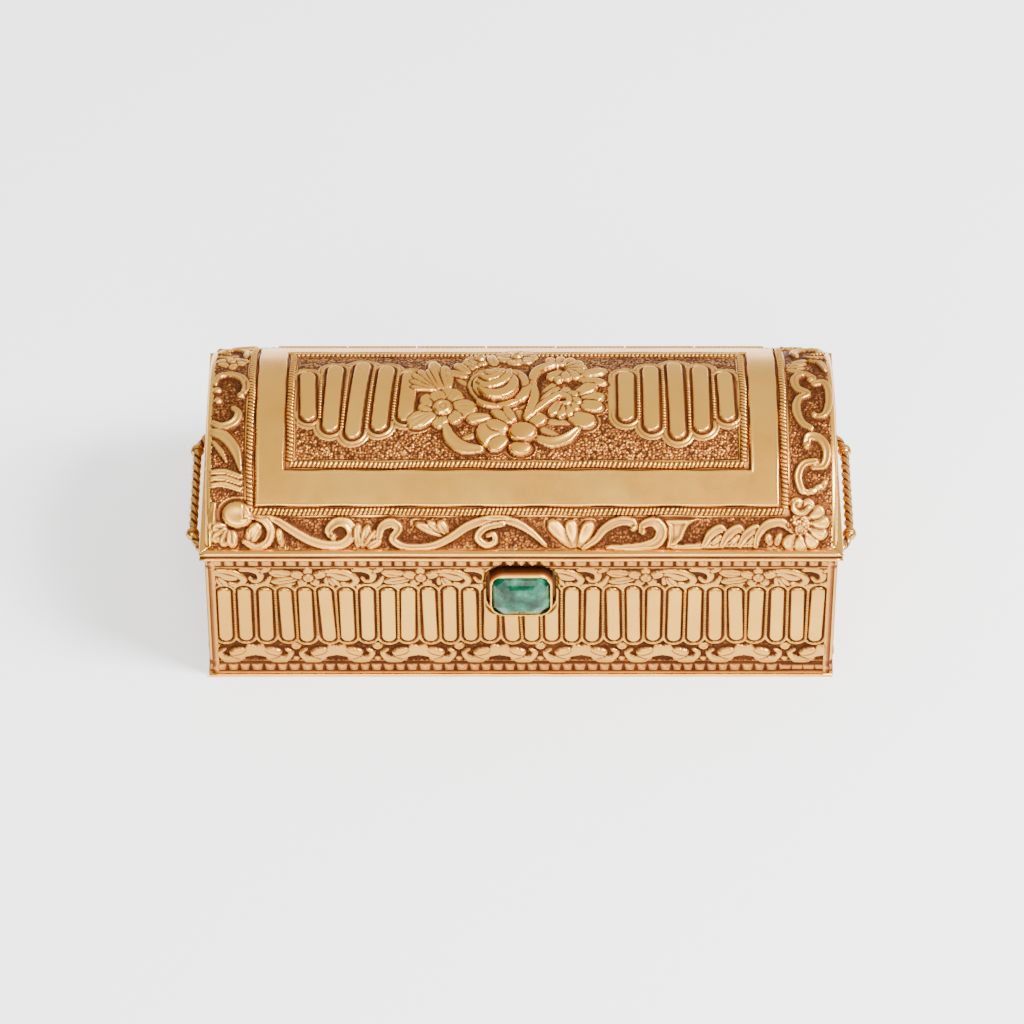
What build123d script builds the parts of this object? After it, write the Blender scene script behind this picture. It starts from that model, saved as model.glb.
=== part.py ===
from build123d import *
from math import atan2, cos, degrees, hypot, radians, sin, sqrt
import os

os.makedirs("parts", exist_ok=True)

# Millimetres. X runs along the box, Y from the button to the hinge, Z up from the underside.
# Box
LENGTH = 75.6
DEPTH = 35.0
JOINT_HEIGHT = 20.0
SHEET = 0.8
RELIEF = 0.4
BASE_THICK = 0.5
BASE_EDGE = 0.15
FOOT_BAND = 2.1
RIM_BAND = 1.6

# Lid
JOINT_GAP = 0.1
LID_RADIUS = 21.0
FLANGE_HEIGHT = 1.2
FLANGE_EDGE = 0.55
FLANGE_REED = 0.35
REED_GROOVE = 0.25
BEZEL_THICK = 0.6
BEZEL_GAP = 0.2
BEZEL_DROP = 3.0
BEZEL_RISE = 1.0

# Hinge
KNUCKLES = 7
HINGE_END_MARGIN = 7.8
KNUCKLE_RADIUS = 1.0
KNUCKLE_END_GAP = 0.17
KNUCKLE_WALL_GAP = 0.15
PIN_RADIUS = 0.45
PIN_RUNNING_GAP = 0.05
PIN_FIXED_GAP = 0.02
PIN_HEAD_RADIUS = 0.8
PIN_HEAD_THICK = 0.5
WEB_HEIGHT = 1.0
WEB_DROP = 0.2

# Push button with its stone
STONE_WIDTH = 6.7
STONE_HEIGHT = 6.0
STONE_CORNER = 1.1
STONE_GIRDLE = 0.5
CROWN_HEIGHT = 0.85
TABLE_INSET = 1.45
PAVILION_DEPTH = 1.3
PAVILION_INSET = 1.5
STONE_GAP = 0.05
COLLET_WALL = 0.42
COLLET_CORNER = 1.7
COLLET_REACH = 1.25
BUTTON_DROP = 5.35
BUTTON_GAP = 0.35
BUTTON_LIP = 0.6
BUTTON_PLATE = 0.5
BUTTON_PLATE_GAP = 0.1

# Catch and its spring
CATCH_WIDTH = 4.0
CATCH_ARM = 0.5
NOSE_HOOK = 0.25
NOSE_HEIGHT = 0.4
NOSE_GAP = 0.1
STRIKER_HEIGHT = 0.5
STRIKER_DEPTH = 0.4
SPRING_SPAN = 24.0
SPRING_WIDTH = 2.6
SPRING_THICK = 0.2
SPRING_GAP = 0.1
SPRING_DROP = 1.2
POST_RADIUS = 1.0
RIVET_RADIUS = 0.4
RIVET_HEAD_RADIUS = 0.75
RIVET_HEAD = 0.3
RIVET_GAP = 0.02

# Handles
HANDLE_DROP = 5.7
HANDLE_BAR_HALF = 7.3
HANDLE_FOOT_HALF = 10.5
HANDLE_STANDOFF = 2.35
HANDLE_WIRE_RADIUS = 0.5
HANDLE_BALL_RADIUS = 0.78
HANDLE_BUMPS = 10
HANDLE_WAIST = 0.3
HANDLE_FOOT_RADIUS = 0.85
HANDLE_FOOT_THICK = 0.35

# Relief of the walls
FLUTE_WIDTH = 1.7
FLUTE_RISE = 0.3
LOWER_FRIEZE_TOP = 5.9
UPPER_FRIEZE_DEPTH = 4.9
FRONT_FLUTES = 30
FRONT_FLUTE_MARGIN = 1.8
END_FLUTES = 13
END_FLUTE_MARGIN = 2.37

# Relief of the lid, placed along its arc from the crown
ROPE_WIDTH = 1.1
ROPE_RISE = 0.35
ROPE_EMBED = 0.2
ORNAMENT_SHIFT = -0.5
END_BORDER = 5.95
OUTER_ROPE_ARC = 15.6
END_BAND = 4.75
INNER_ROPE_ARC = 9.9
LID_FLUTE_WIDTH = 1.9
LID_FLUTE_RISE = 0.35
LID_FLUTE_START_X = 13.1
LID_FLUTE_MARGIN = 2.0
LID_FLUTE_LENGTHS = (8.4, 11.4, 13.2, 11.4, 8.8)
LID_FLUTE_CENTRE_Y = 0.3
DOME_EDGE_ROUND = 0.6
SPRAY_RISE = 0.45
ROSE_RISE = 0.75
SPRAY_WIDTH = 23.0
SPRAY_STEPS = 23
STEM_WIDTH = 0.9

# Planes and radii that follow from the sizes above
wall_x = LENGTH / 2 - RELIEF
wall_y = DEPTH / 2 - RELIEF
inner_x = wall_x - SHEET
inner_y = wall_y - SHEET
lid_low = JOINT_HEIGHT + JOINT_GAP
lid_spring = lid_low + FLANGE_HEIGHT
lid_outer = LID_RADIUS - RELIEF
lid_inner = lid_outer - SHEET
outer_rope_x = LENGTH / 2 - END_BORDER
inner_rope_x = outer_rope_x - END_BAND
lid_flute_pitch = (inner_rope_x - LID_FLUTE_MARGIN - LID_FLUTE_START_X) / (len(LID_FLUTE_LENGTHS) - 1)
flute_high = JOINT_HEIGHT - UPPER_FRIEZE_DEPTH
arc_z = lid_spring - sqrt(LID_RADIUS**2 - (DEPTH / 2) ** 2)
rim_inner_y = sqrt(lid_inner**2 - (lid_spring - arc_z) ** 2)
bezel_x = inner_x - BEZEL_GAP
bezel_y = rim_inner_y - BEZEL_GAP
spray_step = SPRAY_WIDTH / SPRAY_STEPS
hinge_length = LENGTH - 2 * HINGE_END_MARGIN
hinge_y = DEPTH / 2 + KNUCKLE_WALL_GAP + KNUCKLE_RADIUS
hinge_z = (JOINT_HEIGHT + lid_low) / 2
collet_width = STONE_WIDTH + 2 * COLLET_WALL
collet_height = STONE_HEIGHT + 2 * COLLET_WALL
opening_width = collet_width + 2 * BUTTON_GAP
opening_height = collet_height + 2 * BUTTON_GAP
plate_width = opening_width + 2 * BUTTON_LIP
plate_height = opening_height + 2 * BUTTON_LIP
plate_front_y = -inner_y + BUTTON_PLATE_GAP
plate_back_y = plate_front_y + BUTTON_PLATE
button_z = JOINT_HEIGHT - BUTTON_DROP
handle_z = JOINT_HEIGHT - HANDLE_DROP
plate_top_z = button_z + plate_height / 2
collet_front_y = -wall_y - COLLET_REACH
stone_girdle_y = collet_front_y + STONE_GIRDLE
striker_y = -rim_inner_y + STRIKER_DEPTH
arm_front_y = striker_y + NOSE_GAP
bezel_mouth = plate_width / 2 + BEZEL_GAP


def block(x0, x1, y0, y1, z0, z1):
    """Box between two corners."""
    middle = Pos((x0 + x1) / 2, (y0 + y1) / 2, (z0 + z1) / 2)
    return middle * Box(x1 - x0, y1 - y0, z1 - z0)


def rod(x0, x1, radius, y=0.0, z=0.0):
    """Cylinder along X."""
    return Pos((x0 + x1) / 2, y, z) * Rot(0, 90, 0) * Cylinder(radius, x1 - x0)


def rounded_plate(width, height, corner, y0, y1, z=button_z):
    """Rounded rectangle that faces the front, from y0 back to y1."""
    outline = Plane.XZ * RectangleRounded(width, height, corner)
    return Pos(0, y1, z) * extrude(outline, amount=y1 - y0)


def corner_points(x, front, back):
    """Corners of a rectangle in plan, from the front left, anticlockwise."""
    return [(-x, front), (x, front), (x, back), (-x, back)]


def mitred_strip(side, outer, inner, z0, z1):
    """One of the four sides of a rectangular frame, cut at its mitres."""
    after = (side + 1) % 4
    outline = make_face(Polyline(outer[side], outer[after], inner[after], inner[side], close=True))
    return Pos(0, 0, z0) * extrude(outline, amount=z1 - z0)


def save(shape, name):
    export_step(shape, f"parts/{name}.step")


SIDES = ("front", "right", "back", "left")
MIN_Z = (Align.CENTER, Align.CENTER, Align.MIN)


def base_plate():
    x = LENGTH / 2 + BASE_EDGE
    y = DEPTH / 2 + BASE_EDGE
    return block(-x, x, -y, y, 0, BASE_THICK)


def wall_flute(across):
    """One round-ended flute, drawn upright in the plane of its wall."""
    length = flute_high - LOWER_FRIEZE_TOP
    return Pos(across, (LOWER_FRIEZE_TOP + flute_high) / 2) * SlotOverall(length, FLUTE_WIDTH, rotation=90)


def flute_row(count, reach):
    """A row of flutes as a sketch, evenly spaced between -reach and reach."""
    pitch = 2 * reach / (count - 1)
    return Sketch() + [wall_flute(n * pitch - reach) for n in range(count)]


def long_wall(facing):
    """Front wall (facing -1) or back wall (facing 1) with its row of flutes."""
    outer = facing * wall_y
    inner = facing * inner_y
    sheet = block(-wall_x, wall_x, min(outer, inner), max(outer, inner), BASE_THICK, JOINT_HEIGHT)
    row = flute_row(FRONT_FLUTES, wall_x - FRONT_FLUTE_MARGIN)
    flutes = extrude(Plane.XZ * row, amount=-facing * (FLUTE_RISE + SHEET / 2))
    return sheet + Pos(0, outer - facing * SHEET / 2, 0) * flutes


def button_opening():
    """The hole that the push button slides through."""
    corner = COLLET_CORNER + BUTTON_GAP
    return rounded_plate(opening_width, opening_height, corner, -DEPTH, -inner_y + SHEET)


def end_wall(facing):
    """Left wall (facing -1) or right wall (facing 1), fitted between the long walls."""
    outer = facing * wall_x
    inner = facing * inner_x
    sheet = block(min(outer, inner), max(outer, inner), -inner_y, inner_y, BASE_THICK, JOINT_HEIGHT)
    row = flute_row(END_FLUTES, wall_y - END_FLUTE_MARGIN)
    flutes = extrude(Plane.YZ * row, amount=facing * (FLUTE_RISE + SHEET / 2))
    return sheet + Pos(outer - facing * SHEET / 2, 0, 0) * flutes


def save_body_mouldings():
    """The strips around the walls at the foot and under the joint."""
    outer = corner_points(LENGTH / 2, -DEPTH / 2, DEPTH / 2)
    inner = corner_points(wall_x, -wall_y, wall_y)
    for side, name in enumerate(SIDES):
        foot = mitred_strip(side, outer, inner, BASE_THICK, BASE_THICK + FOOT_BAND)
        save(foot, f"foot_moulding_{name}")
        rim = mitred_strip(side, outer, inner, JOINT_HEIGHT - RIM_BAND, JOINT_HEIGHT)
        save(rim, f"rim_moulding_{name}")


def save_bezel():
    """The upstand inside the walls that the lid closes over, open where the catch passes."""
    low = JOINT_HEIGHT - BEZEL_DROP
    high = JOINT_HEIGHT + BEZEL_RISE
    outer = corner_points(bezel_x, -bezel_y, bezel_y)
    inner = corner_points(bezel_x - BEZEL_THICK, BEZEL_THICK - bezel_y, bezel_y - BEZEL_THICK)
    seat_outer = corner_points(inner_x, -inner_y, inner_y)
    mouth = block(-bezel_mouth, bezel_mouth, -DEPTH / 2, 0, low, high)
    for side, name in enumerate(SIDES):
        upper = mitred_strip(side, outer, inner, JOINT_HEIGHT, high)
        lower = mitred_strip(side, seat_outer, inner, low, JOINT_HEIGHT)
        strip = upper + lower
        if name != "front":
            save(strip, f"bezel_{name}")
            continue
        halves = (strip - mouth).solids().sort_by(Axis.X)
        save(halves[0], "bezel_front_left")
        save(halves[-1], "bezel_front_right")


def knuckle(index, bore_gap, web_low):
    """A hinge knuckle with the web that carries it, bored for the pin."""
    pitch = hinge_length / KNUCKLES
    x0 = -hinge_length / 2 + index * pitch + KNUCKLE_END_GAP / 2
    x1 = x0 + pitch - KNUCKLE_END_GAP
    barrel = rod(x0, x1, KNUCKLE_RADIUS, hinge_y, hinge_z)
    web = block(x0, x1, DEPTH / 2, hinge_y, web_low, web_low + WEB_HEIGHT)
    bore = rod(x0 - 1, x1 + 1, PIN_RADIUS + bore_gap, hinge_y, hinge_z)
    return barrel + web - bore


def save_hinge():
    """Seven knuckles in turn on the box and the lid, and the pin through them."""
    body_web = JOINT_HEIGHT - WEB_DROP - WEB_HEIGHT
    lid_web = lid_low + WEB_DROP
    for index in range(KNUCKLES):
        number = index // 2 + 1
        if index % 2 == 0:
            save(knuckle(index, PIN_FIXED_GAP, body_web), f"body_knuckle_{number}")
        else:
            save(knuckle(index, PIN_RUNNING_GAP, lid_web), f"lid_knuckle_{number}")
    end = hinge_length / 2
    pin = rod(-end, end, PIN_RADIUS, hinge_y, hinge_z)
    for x in (-end - PIN_HEAD_THICK, end):
        pin += rod(x, x + PIN_HEAD_THICK, PIN_HEAD_RADIUS, hinge_y, hinge_z)
    save(pin, "hinge_pin")


def bumpy_bar(half_length):
    """The handle's twisted bar along Y, as a row of rounded turns."""
    pitch = 2 * half_length / HANDLE_BUMPS
    outline = Line((-half_length, 0), (-half_length, HANDLE_WAIST))
    for n in range(HANDLE_BUMPS):
        start = -half_length + n * pitch
        ends = (start, HANDLE_WAIST), (start + pitch, HANDLE_WAIST)
        outline += ThreePointArc(ends[0], (start + pitch / 2, HANDLE_WIRE_RADIUS), ends[1])
    outline += Line((half_length, HANDLE_WAIST), (half_length, 0))
    outline += Line((half_length, 0), (-half_length, 0))
    return Rot(0, 0, 90) * revolve(make_face(outline), Axis.X)


def handle_leg(facing, end, wall):
    """The handle's bent end, from its ball down to a small foot on the wall."""
    ball = Vector(facing * (wall_x + HANDLE_STANDOFF), end * HANDLE_BAR_HALF, handle_z)
    foot = Vector(facing * wall_x, end * HANDLE_FOOT_HALF, handle_z)
    run = foot - ball
    leg = Plane(ball, z_dir=run) * Cylinder(HANDLE_WIRE_RADIUS, run.length, align=MIN_Z)
    disc = Plane(foot, z_dir=(facing, 0, 0))
    leg += disc * Cylinder(HANDLE_FOOT_RADIUS, HANDLE_FOOT_THICK, align=MIN_Z)
    return leg - Pos(ball) * Sphere(HANDLE_BALL_RADIUS) - wall


def save_handle(facing, side, wall):
    """A fixed bow handle: bar, two balls at its elbows and two legs."""
    x = facing * (wall_x + HANDLE_STANDOFF)
    bar = Pos(x, 0, handle_z) * bumpy_bar(HANDLE_BAR_HALF)
    for end, name in ((-1, "front"), (1, "rear")):
        ball = Pos(x, end * HANDLE_BAR_HALF, handle_z) * Sphere(HANDLE_BALL_RADIUS)
        bar -= ball
        save(ball, f"{side}_handle_{name}_ball")
        save(handle_leg(facing, end, wall), f"{side}_handle_{name}_leg")
    save(bar, f"{side}_handle_bar")


def curved_layer(r0, r1, half_length=wall_x):
    """Cylindrical layer of the lid between two radii, above its lower edge."""
    layer = rod(-half_length, half_length, r1, 0, arc_z) - rod(-half_length, half_length, r0, 0, arc_z)
    return layer & block(-half_length, half_length, -r1, r1, lid_spring, arc_z + r1)


def on_lid(outline, rise, embed=ROPE_EMBED):
    """Raises a plan outline out of the curved sheet."""
    column = Pos(0, 0, arc_z) * extrude(outline, amount=LID_RADIUS + 1)
    return column & curved_layer(lid_outer - embed, lid_outer + rise)


def arc_y(arc):
    """Depth in plan of a point that lies this far from the crown, along the sheet."""
    return lid_outer * sin(arc / lid_outer)


def rope_frame(x, arc):
    """Plan of one rope border: a rectangular frame."""
    y = arc_y(arc)
    outer = Rectangle(2 * x + ROPE_WIDTH, 2 * y + ROPE_WIDTH)
    return Pos(ORNAMENT_SHIFT, 0) * (outer - Rectangle(2 * x - ROPE_WIDTH, 2 * y - ROPE_WIDTH))


def lid_flutes(side):
    """Plan of the fan of five flutes on one side of the spray."""
    flutes = Sketch()
    for n, length in enumerate(reversed(LID_FLUTE_LENGTHS)):
        x = ORNAMENT_SHIFT + side * (LID_FLUTE_START_X + n * lid_flute_pitch)
        flutes += Pos(x, LID_FLUTE_CENTRE_Y) * SlotOverall(length, LID_FLUTE_WIDTH, rotation=90)
    return flutes


def lid_dome():
    """The arched sheet with its rope borders and flutes."""
    dome = curved_layer(lid_inner, lid_outer)
    end_arcs = dome.edges().filter_by(GeomType.CIRCLE)
    outer_arcs = end_arcs.filter_by(lambda edge: edge.radius > lid_inner + SHEET / 2)
    dome = fillet(outer_arcs, DOME_EDGE_ROUND)
    dome += on_lid(rope_frame(outer_rope_x, OUTER_ROPE_ARC), ROPE_RISE)
    dome += on_lid(rope_frame(inner_rope_x, INNER_ROPE_ARC), ROPE_RISE)
    for side in (-1, 1):
        dome += on_lid(lid_flutes(side), LID_FLUTE_RISE)
    return dome


def petal(x, y, length, width, angle):
    """Plan of one petal or leaf, in steps of the spray's grid."""
    oval = Ellipse(length * spray_step / 2, width * spray_step / 2)
    return Pos(x * spray_step, y * spray_step) * Rot(0, 0, angle) * oval


def stem(start, end):
    """Plan of a stem between two points, in steps of the spray's grid."""
    across = (end[0] - start[0]) * spray_step
    up = (end[1] - start[1]) * spray_step
    middle = Pos(start[0] * spray_step + across / 2, start[1] * spray_step + up / 2)
    return middle * Rot(0, 0, degrees(atan2(up, across))) * Rectangle(hypot(across, up), STEM_WIDTH)


def open_flower(centre, petals=5, reach=2.0):
    """Plan of a flower of round petals."""
    plan = petal(*centre, reach, reach, 0)
    for n in range(petals):
        turn = 90 + n * 360 / petals
        x = centre[0] + reach * cos(radians(turn))
        y = centre[1] + reach * sin(radians(turn))
        plan += petal(x, y, 1.5 * reach, 1.2 * reach, turn)
    return plan


def flower_spray():
    """The spray on the crown: rose, open flower, curls and leaves on their stems."""
    rose = (-3.0, 2.0)
    flower = (-9.0, -2.0)
    foot = (-1.0, -4.2)
    plan = petal(*rose, 7.8, 7.4, 0) + open_flower(flower)
    plan += stem(rose, flower) + stem(rose, foot)
    upper_leaves = (
        (-9.8, 4.2, 4.6, 3.4, 140),
        (-6.6, 6.0, 3.6, 1.7, 130),
        (-0.4, 7.4, 3.4, 2.6, 0),
        (5.6, 5.6, 5.2, 4.6, 30),
        (9.0, 4.4, 3.2, 1.7, 40),
        (8.6, 1.4, 3.2, 1.6, 10),
        (8.2, -1.8, 3.0, 1.6, -15),
    )
    lower_leaves = (
        (-4.4, -3.8, 4.0, 1.8, 20),
        (-3.8, -6.2, 3.0, 2.6, 0),
        (-6.8, -6.8, 4.4, 2.6, 20),
        (0.1, -7.2, 3.0, 2.8, 0),
        (4.2, -6.0, 5.0, 2.4, 15),
        (4.8, -2.2, 3.8, 4.2, 0),
        (7.4, -4.6, 3.0, 1.6, -35),
    )
    for hub, leaves in ((rose, upper_leaves), (foot, lower_leaves)):
        for leaf in leaves:
            plan += petal(*leaf) + stem(hub, leaf[:2])
    spray = on_lid(plan, SPRAY_RISE, embed=0)
    heart = petal(*rose, 5.2, 4.8, 0)
    return spray + on_lid(heart, ROSE_RISE, embed=0)


def lid_end(facing):
    """Flat end of the lid, fitted under the arched sheet."""
    x0, x1 = sorted((facing * inner_x, facing * wall_x))
    disc = rod(x0, x1, lid_inner, 0, arc_z)
    return disc & block(x0, x1, -DEPTH, DEPTH, lid_spring, arc_z + LID_RADIUS)


def save_lid_rim():
    """The frame under the arched sheet, with a reeded flange on three sides."""
    inner = corner_points(inner_x, -rim_inner_y, rim_inner_y)
    bead = corner_points(LENGTH / 2 + FLANGE_EDGE, -DEPTH / 2 - FLANGE_EDGE, DEPTH / 2)
    groove_edge = FLANGE_EDGE - REED_GROOVE
    groove = corner_points(LENGTH / 2 + groove_edge, -DEPTH / 2 - groove_edge, DEPTH / 2)
    for side, name in enumerate(SIDES):
        strip = mitred_strip(side, bead, inner, lid_low, lid_low + FLANGE_REED)
        strip += mitred_strip(side, groove, inner, lid_low + FLANGE_REED, lid_spring - FLANGE_REED)
        strip += mitred_strip(side, bead, inner, lid_spring - FLANGE_REED, lid_spring)
        save(strip, f"lid_rim_{name}")


def button_plate():
    """Plate behind the wall that keeps the button in, with the catch on its upper edge."""
    plate = rounded_plate(plate_width, plate_height, COLLET_CORNER, plate_front_y, plate_back_y)
    half = CATCH_WIDTH / 2
    nose_low = lid_low + STRIKER_HEIGHT + 2 * NOSE_GAP
    nose_high = nose_low + NOSE_HEIGHT
    arm_back_y = arm_front_y + CATCH_ARM
    arm = block(-half, half, arm_front_y, arm_back_y, plate_top_z - BUTTON_LIP, nose_high)
    root = block(-half, half, plate_front_y, arm_back_y, plate_top_z - 2 * BUTTON_LIP, plate_top_z)
    nose = block(-half, half, striker_y - NOSE_HOOK, arm_front_y, nose_low, nose_high)
    return plate + root + arm + nose


def lid_striker():
    """Ledge on the inside of the lid's front rim that the catch hooks over."""
    half = CATCH_WIDTH / 2
    low = lid_low + NOSE_GAP
    return block(-half, half, -rim_inner_y, striker_y, low, low + STRIKER_HEIGHT)


def stone_section(inset, y):
    """Outline of the stone with cut corners, at one depth."""
    width = STONE_WIDTH / 2 - inset
    height = STONE_HEIGHT / 2 - inset
    cut = STONE_CORNER * width / (STONE_WIDTH / 2)
    points = [
        (-width + cut, -height),
        (width - cut, -height),
        (width, -height + cut),
        (width, height - cut),
        (width - cut, height),
        (-width + cut, height),
        (-width, height - cut),
        (-width, -height + cut),
    ]
    plane = Plane((0, y, button_z), x_dir=(1, 0, 0), z_dir=(0, -1, 0))
    return plane * make_face(Polyline(*points, close=True)).face()


def stone():
    """Step-cut stone: crown, girdle and pavilion."""
    back = stone_girdle_y + PAVILION_DEPTH
    front = collet_front_y - CROWN_HEIGHT
    sections = [
        stone_section(PAVILION_INSET, back),
        stone_section(0, stone_girdle_y),
        stone_section(0, collet_front_y),
        stone_section(TABLE_INSET, front),
    ]
    return loft(sections, ruled=True)


def collet():
    """Box-like setting of the stone, on the plate that carries it."""
    cup = rounded_plate(collet_width, collet_height, COLLET_CORNER, collet_front_y, plate_front_y)
    seat_corner = STONE_CORNER
    seat_width = STONE_WIDTH + 2 * STONE_GAP
    seat_height = STONE_HEIGHT + 2 * STONE_GAP
    floor = stone_girdle_y + PAVILION_DEPTH + STONE_GAP
    seat = rounded_plate(seat_width, seat_height, seat_corner / 2, -DEPTH, floor)
    return cup - seat


def spring_post(side):
    """Post on the inside of the front wall that a rivet holds the spring to."""
    spring_front = plate_back_y + SPRING_GAP
    spring_back = spring_front + SPRING_THICK
    z = button_z - SPRING_DROP
    x = side * (SPRING_SPAN / 2 - POST_RADIUS)
    post = Cylinder(POST_RADIUS, spring_front + inner_y, align=MIN_Z)
    shank = Cylinder(RIVET_RADIUS, spring_back + inner_y, align=MIN_Z)
    head_base = Pos(0, 0, spring_back + inner_y)
    head = head_base * Cylinder(RIVET_HEAD_RADIUS, RIVET_HEAD, align=MIN_Z)
    return Plane((x, -inner_y, z), z_dir=(0, 1, 0)) * (post + shank + head)


def latch_spring():
    """Flat spring across the back of the button."""
    front = plate_back_y + SPRING_GAP
    z = button_z - SPRING_DROP
    half = SPRING_WIDTH / 2
    leaf = block(-SPRING_SPAN / 2, SPRING_SPAN / 2, front, front + SPRING_THICK, z - half, z + half)
    for side in (-1, 1):
        x = side * (SPRING_SPAN / 2 - POST_RADIUS)
        hole = Plane((x, front - SPRING_THICK, z), z_dir=(0, 1, 0))
        leaf -= hole * Cylinder(RIVET_RADIUS + RIVET_GAP, 3 * SPRING_THICK, align=MIN_Z)
    return leaf


save(base_plate(), "base_plate")
save(long_wall(-1) - button_opening(), "front_wall")
save(long_wall(1), "back_wall")
for facing, side in ((-1, "left"), (1, "right")):
    wall = end_wall(facing)
    save(wall, f"{side}_wall")
    save_handle(facing, side, wall)
save_body_mouldings()
save_bezel()
save_hinge()
save(lid_dome(), "lid_dome")
save(lid_end(-1), "lid_left_end")
save(lid_end(1), "lid_right_end")
save_lid_rim()
save(lid_striker(), "lid_striker")
save(flower_spray(), "flower_spray")
save(stone(), "emerald")
save(collet(), "stone_collet")
save(button_plate(), "button_plate")
save(latch_spring(), "latch_spring")
save(spring_post(-1), "spring_post_left")
save(spring_post(1), "spring_post_right")
print(f"hinge axis y {hinge_y:.3f} z {hinge_z:.3f}, arc centre z {arc_z:.3f}")
print(f"rim inner y {rim_inner_y:.3f}, bezel y {bezel_y:.3f}, bezel x {bezel_x:.3f}")
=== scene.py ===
import math

import bpy
import numpy as np
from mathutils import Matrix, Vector


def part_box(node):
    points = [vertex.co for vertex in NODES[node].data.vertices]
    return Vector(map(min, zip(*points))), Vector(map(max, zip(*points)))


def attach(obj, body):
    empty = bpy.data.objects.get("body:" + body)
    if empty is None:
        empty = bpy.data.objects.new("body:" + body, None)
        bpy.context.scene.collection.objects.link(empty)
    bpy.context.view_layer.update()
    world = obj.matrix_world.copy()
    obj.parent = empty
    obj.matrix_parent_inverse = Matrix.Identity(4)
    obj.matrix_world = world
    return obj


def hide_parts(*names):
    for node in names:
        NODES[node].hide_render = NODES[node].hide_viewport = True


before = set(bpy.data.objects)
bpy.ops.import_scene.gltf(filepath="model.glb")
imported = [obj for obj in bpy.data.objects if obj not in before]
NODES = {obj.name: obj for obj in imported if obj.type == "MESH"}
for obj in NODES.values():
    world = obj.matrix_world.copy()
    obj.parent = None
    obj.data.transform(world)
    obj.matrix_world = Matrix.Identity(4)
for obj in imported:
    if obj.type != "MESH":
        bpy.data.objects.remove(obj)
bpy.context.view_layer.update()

# Lengths below are millimetres, as on the object; the scene itself is in metres
MM = 0.001
rng = np.random.default_rng(7)


def cad(node):
    """Lowest and highest corner of a CAD node in millimetres."""
    low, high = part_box(node)
    return np.array(low) / MM, np.array(high) / MM


# Planes and radii of the box, read from the frame
foot_low, foot_high = cad("foot_moulding_front")
HALF_LENGTH = foot_high[0]
HALF_DEPTH = -foot_low[1]
WALL_FOOT = foot_low[2]
WALL_TOP = cad("rim_moulding_front")[1][2]
WALL_X = -cad("foot_moulding_left")[1][0]
WALL_Y = -foot_high[1]
INNER_X = cad("right_wall")[0][0]
end_low, end_high = cad("lid_left_end")
LID_SPRING = end_low[2]
HALF_CHORD = end_high[1]
end_rise = end_high[2] - LID_SPRING
lid_inner = (end_rise**2 + HALF_CHORD**2) / (2 * end_rise)
ARC_Z = end_high[2] - lid_inner
SHEET = end_high[0] - end_low[0]
LID_OUTER = lid_inner + SHEET
moulding = HALF_DEPTH - WALL_Y
LID_HALF_ARC = LID_OUTER * math.acos((LID_SPRING - ARC_Z) / (LID_OUTER + moulding))
LID_HALF_LENGTH = HALF_LENGTH - 0.1


# Surfaces: each turns two coordinates and a height, in millimetres, into points

def lid_surface(x, arc, height):
    """Arched sheet: arc runs from the crown, positive towards the front."""
    angle = arc / LID_OUTER
    radius = LID_OUTER + height
    return np.stack([x, -radius * np.sin(angle), ARC_Z + radius * np.cos(angle)], -1)


def front_surface(x, z, height):
    return np.stack([x, -WALL_Y - height, z], -1)


def back_surface(x, z, height):
    return np.stack([-x, WALL_Y + height, z], -1)


def right_surface(y, z, height):
    return np.stack([WALL_X + height, y, z], -1)


def left_surface(y, z, height):
    return np.stack([-WALL_X - height, -y, z], -1)


# Relief: heights over a surface, chased up from a matted ground

def smooth(low, high, value):
    t = np.clip((value - low) / (high - low), 0, 1)
    return t * t * (3 - 2 * t)


def hump(value, centre, width):
    """1 at the centre, fading to 0 on both sides over about the width."""
    return np.exp(-(((value - centre) / width) ** 2))


def curve_through(points, count):
    """Smooth curve through a few points."""
    p = np.array(points, float)
    p = np.vstack([2 * p[0] - p[1], p, 2 * p[-1] - p[-2]])
    spans = len(p) - 3
    t = np.linspace(0, spans - 1e-6, count)
    i = t.astype(int)
    f = (t - i)[:, None]
    a, b, c, d = p[i], p[i + 1], p[i + 2], p[i + 3]
    return 0.5 * (2 * b + (c - a) * f + (2 * a - 5 * b + 4 * c - d) * f**2 + (3 * b - a - 3 * c + d) * f**3)


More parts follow.
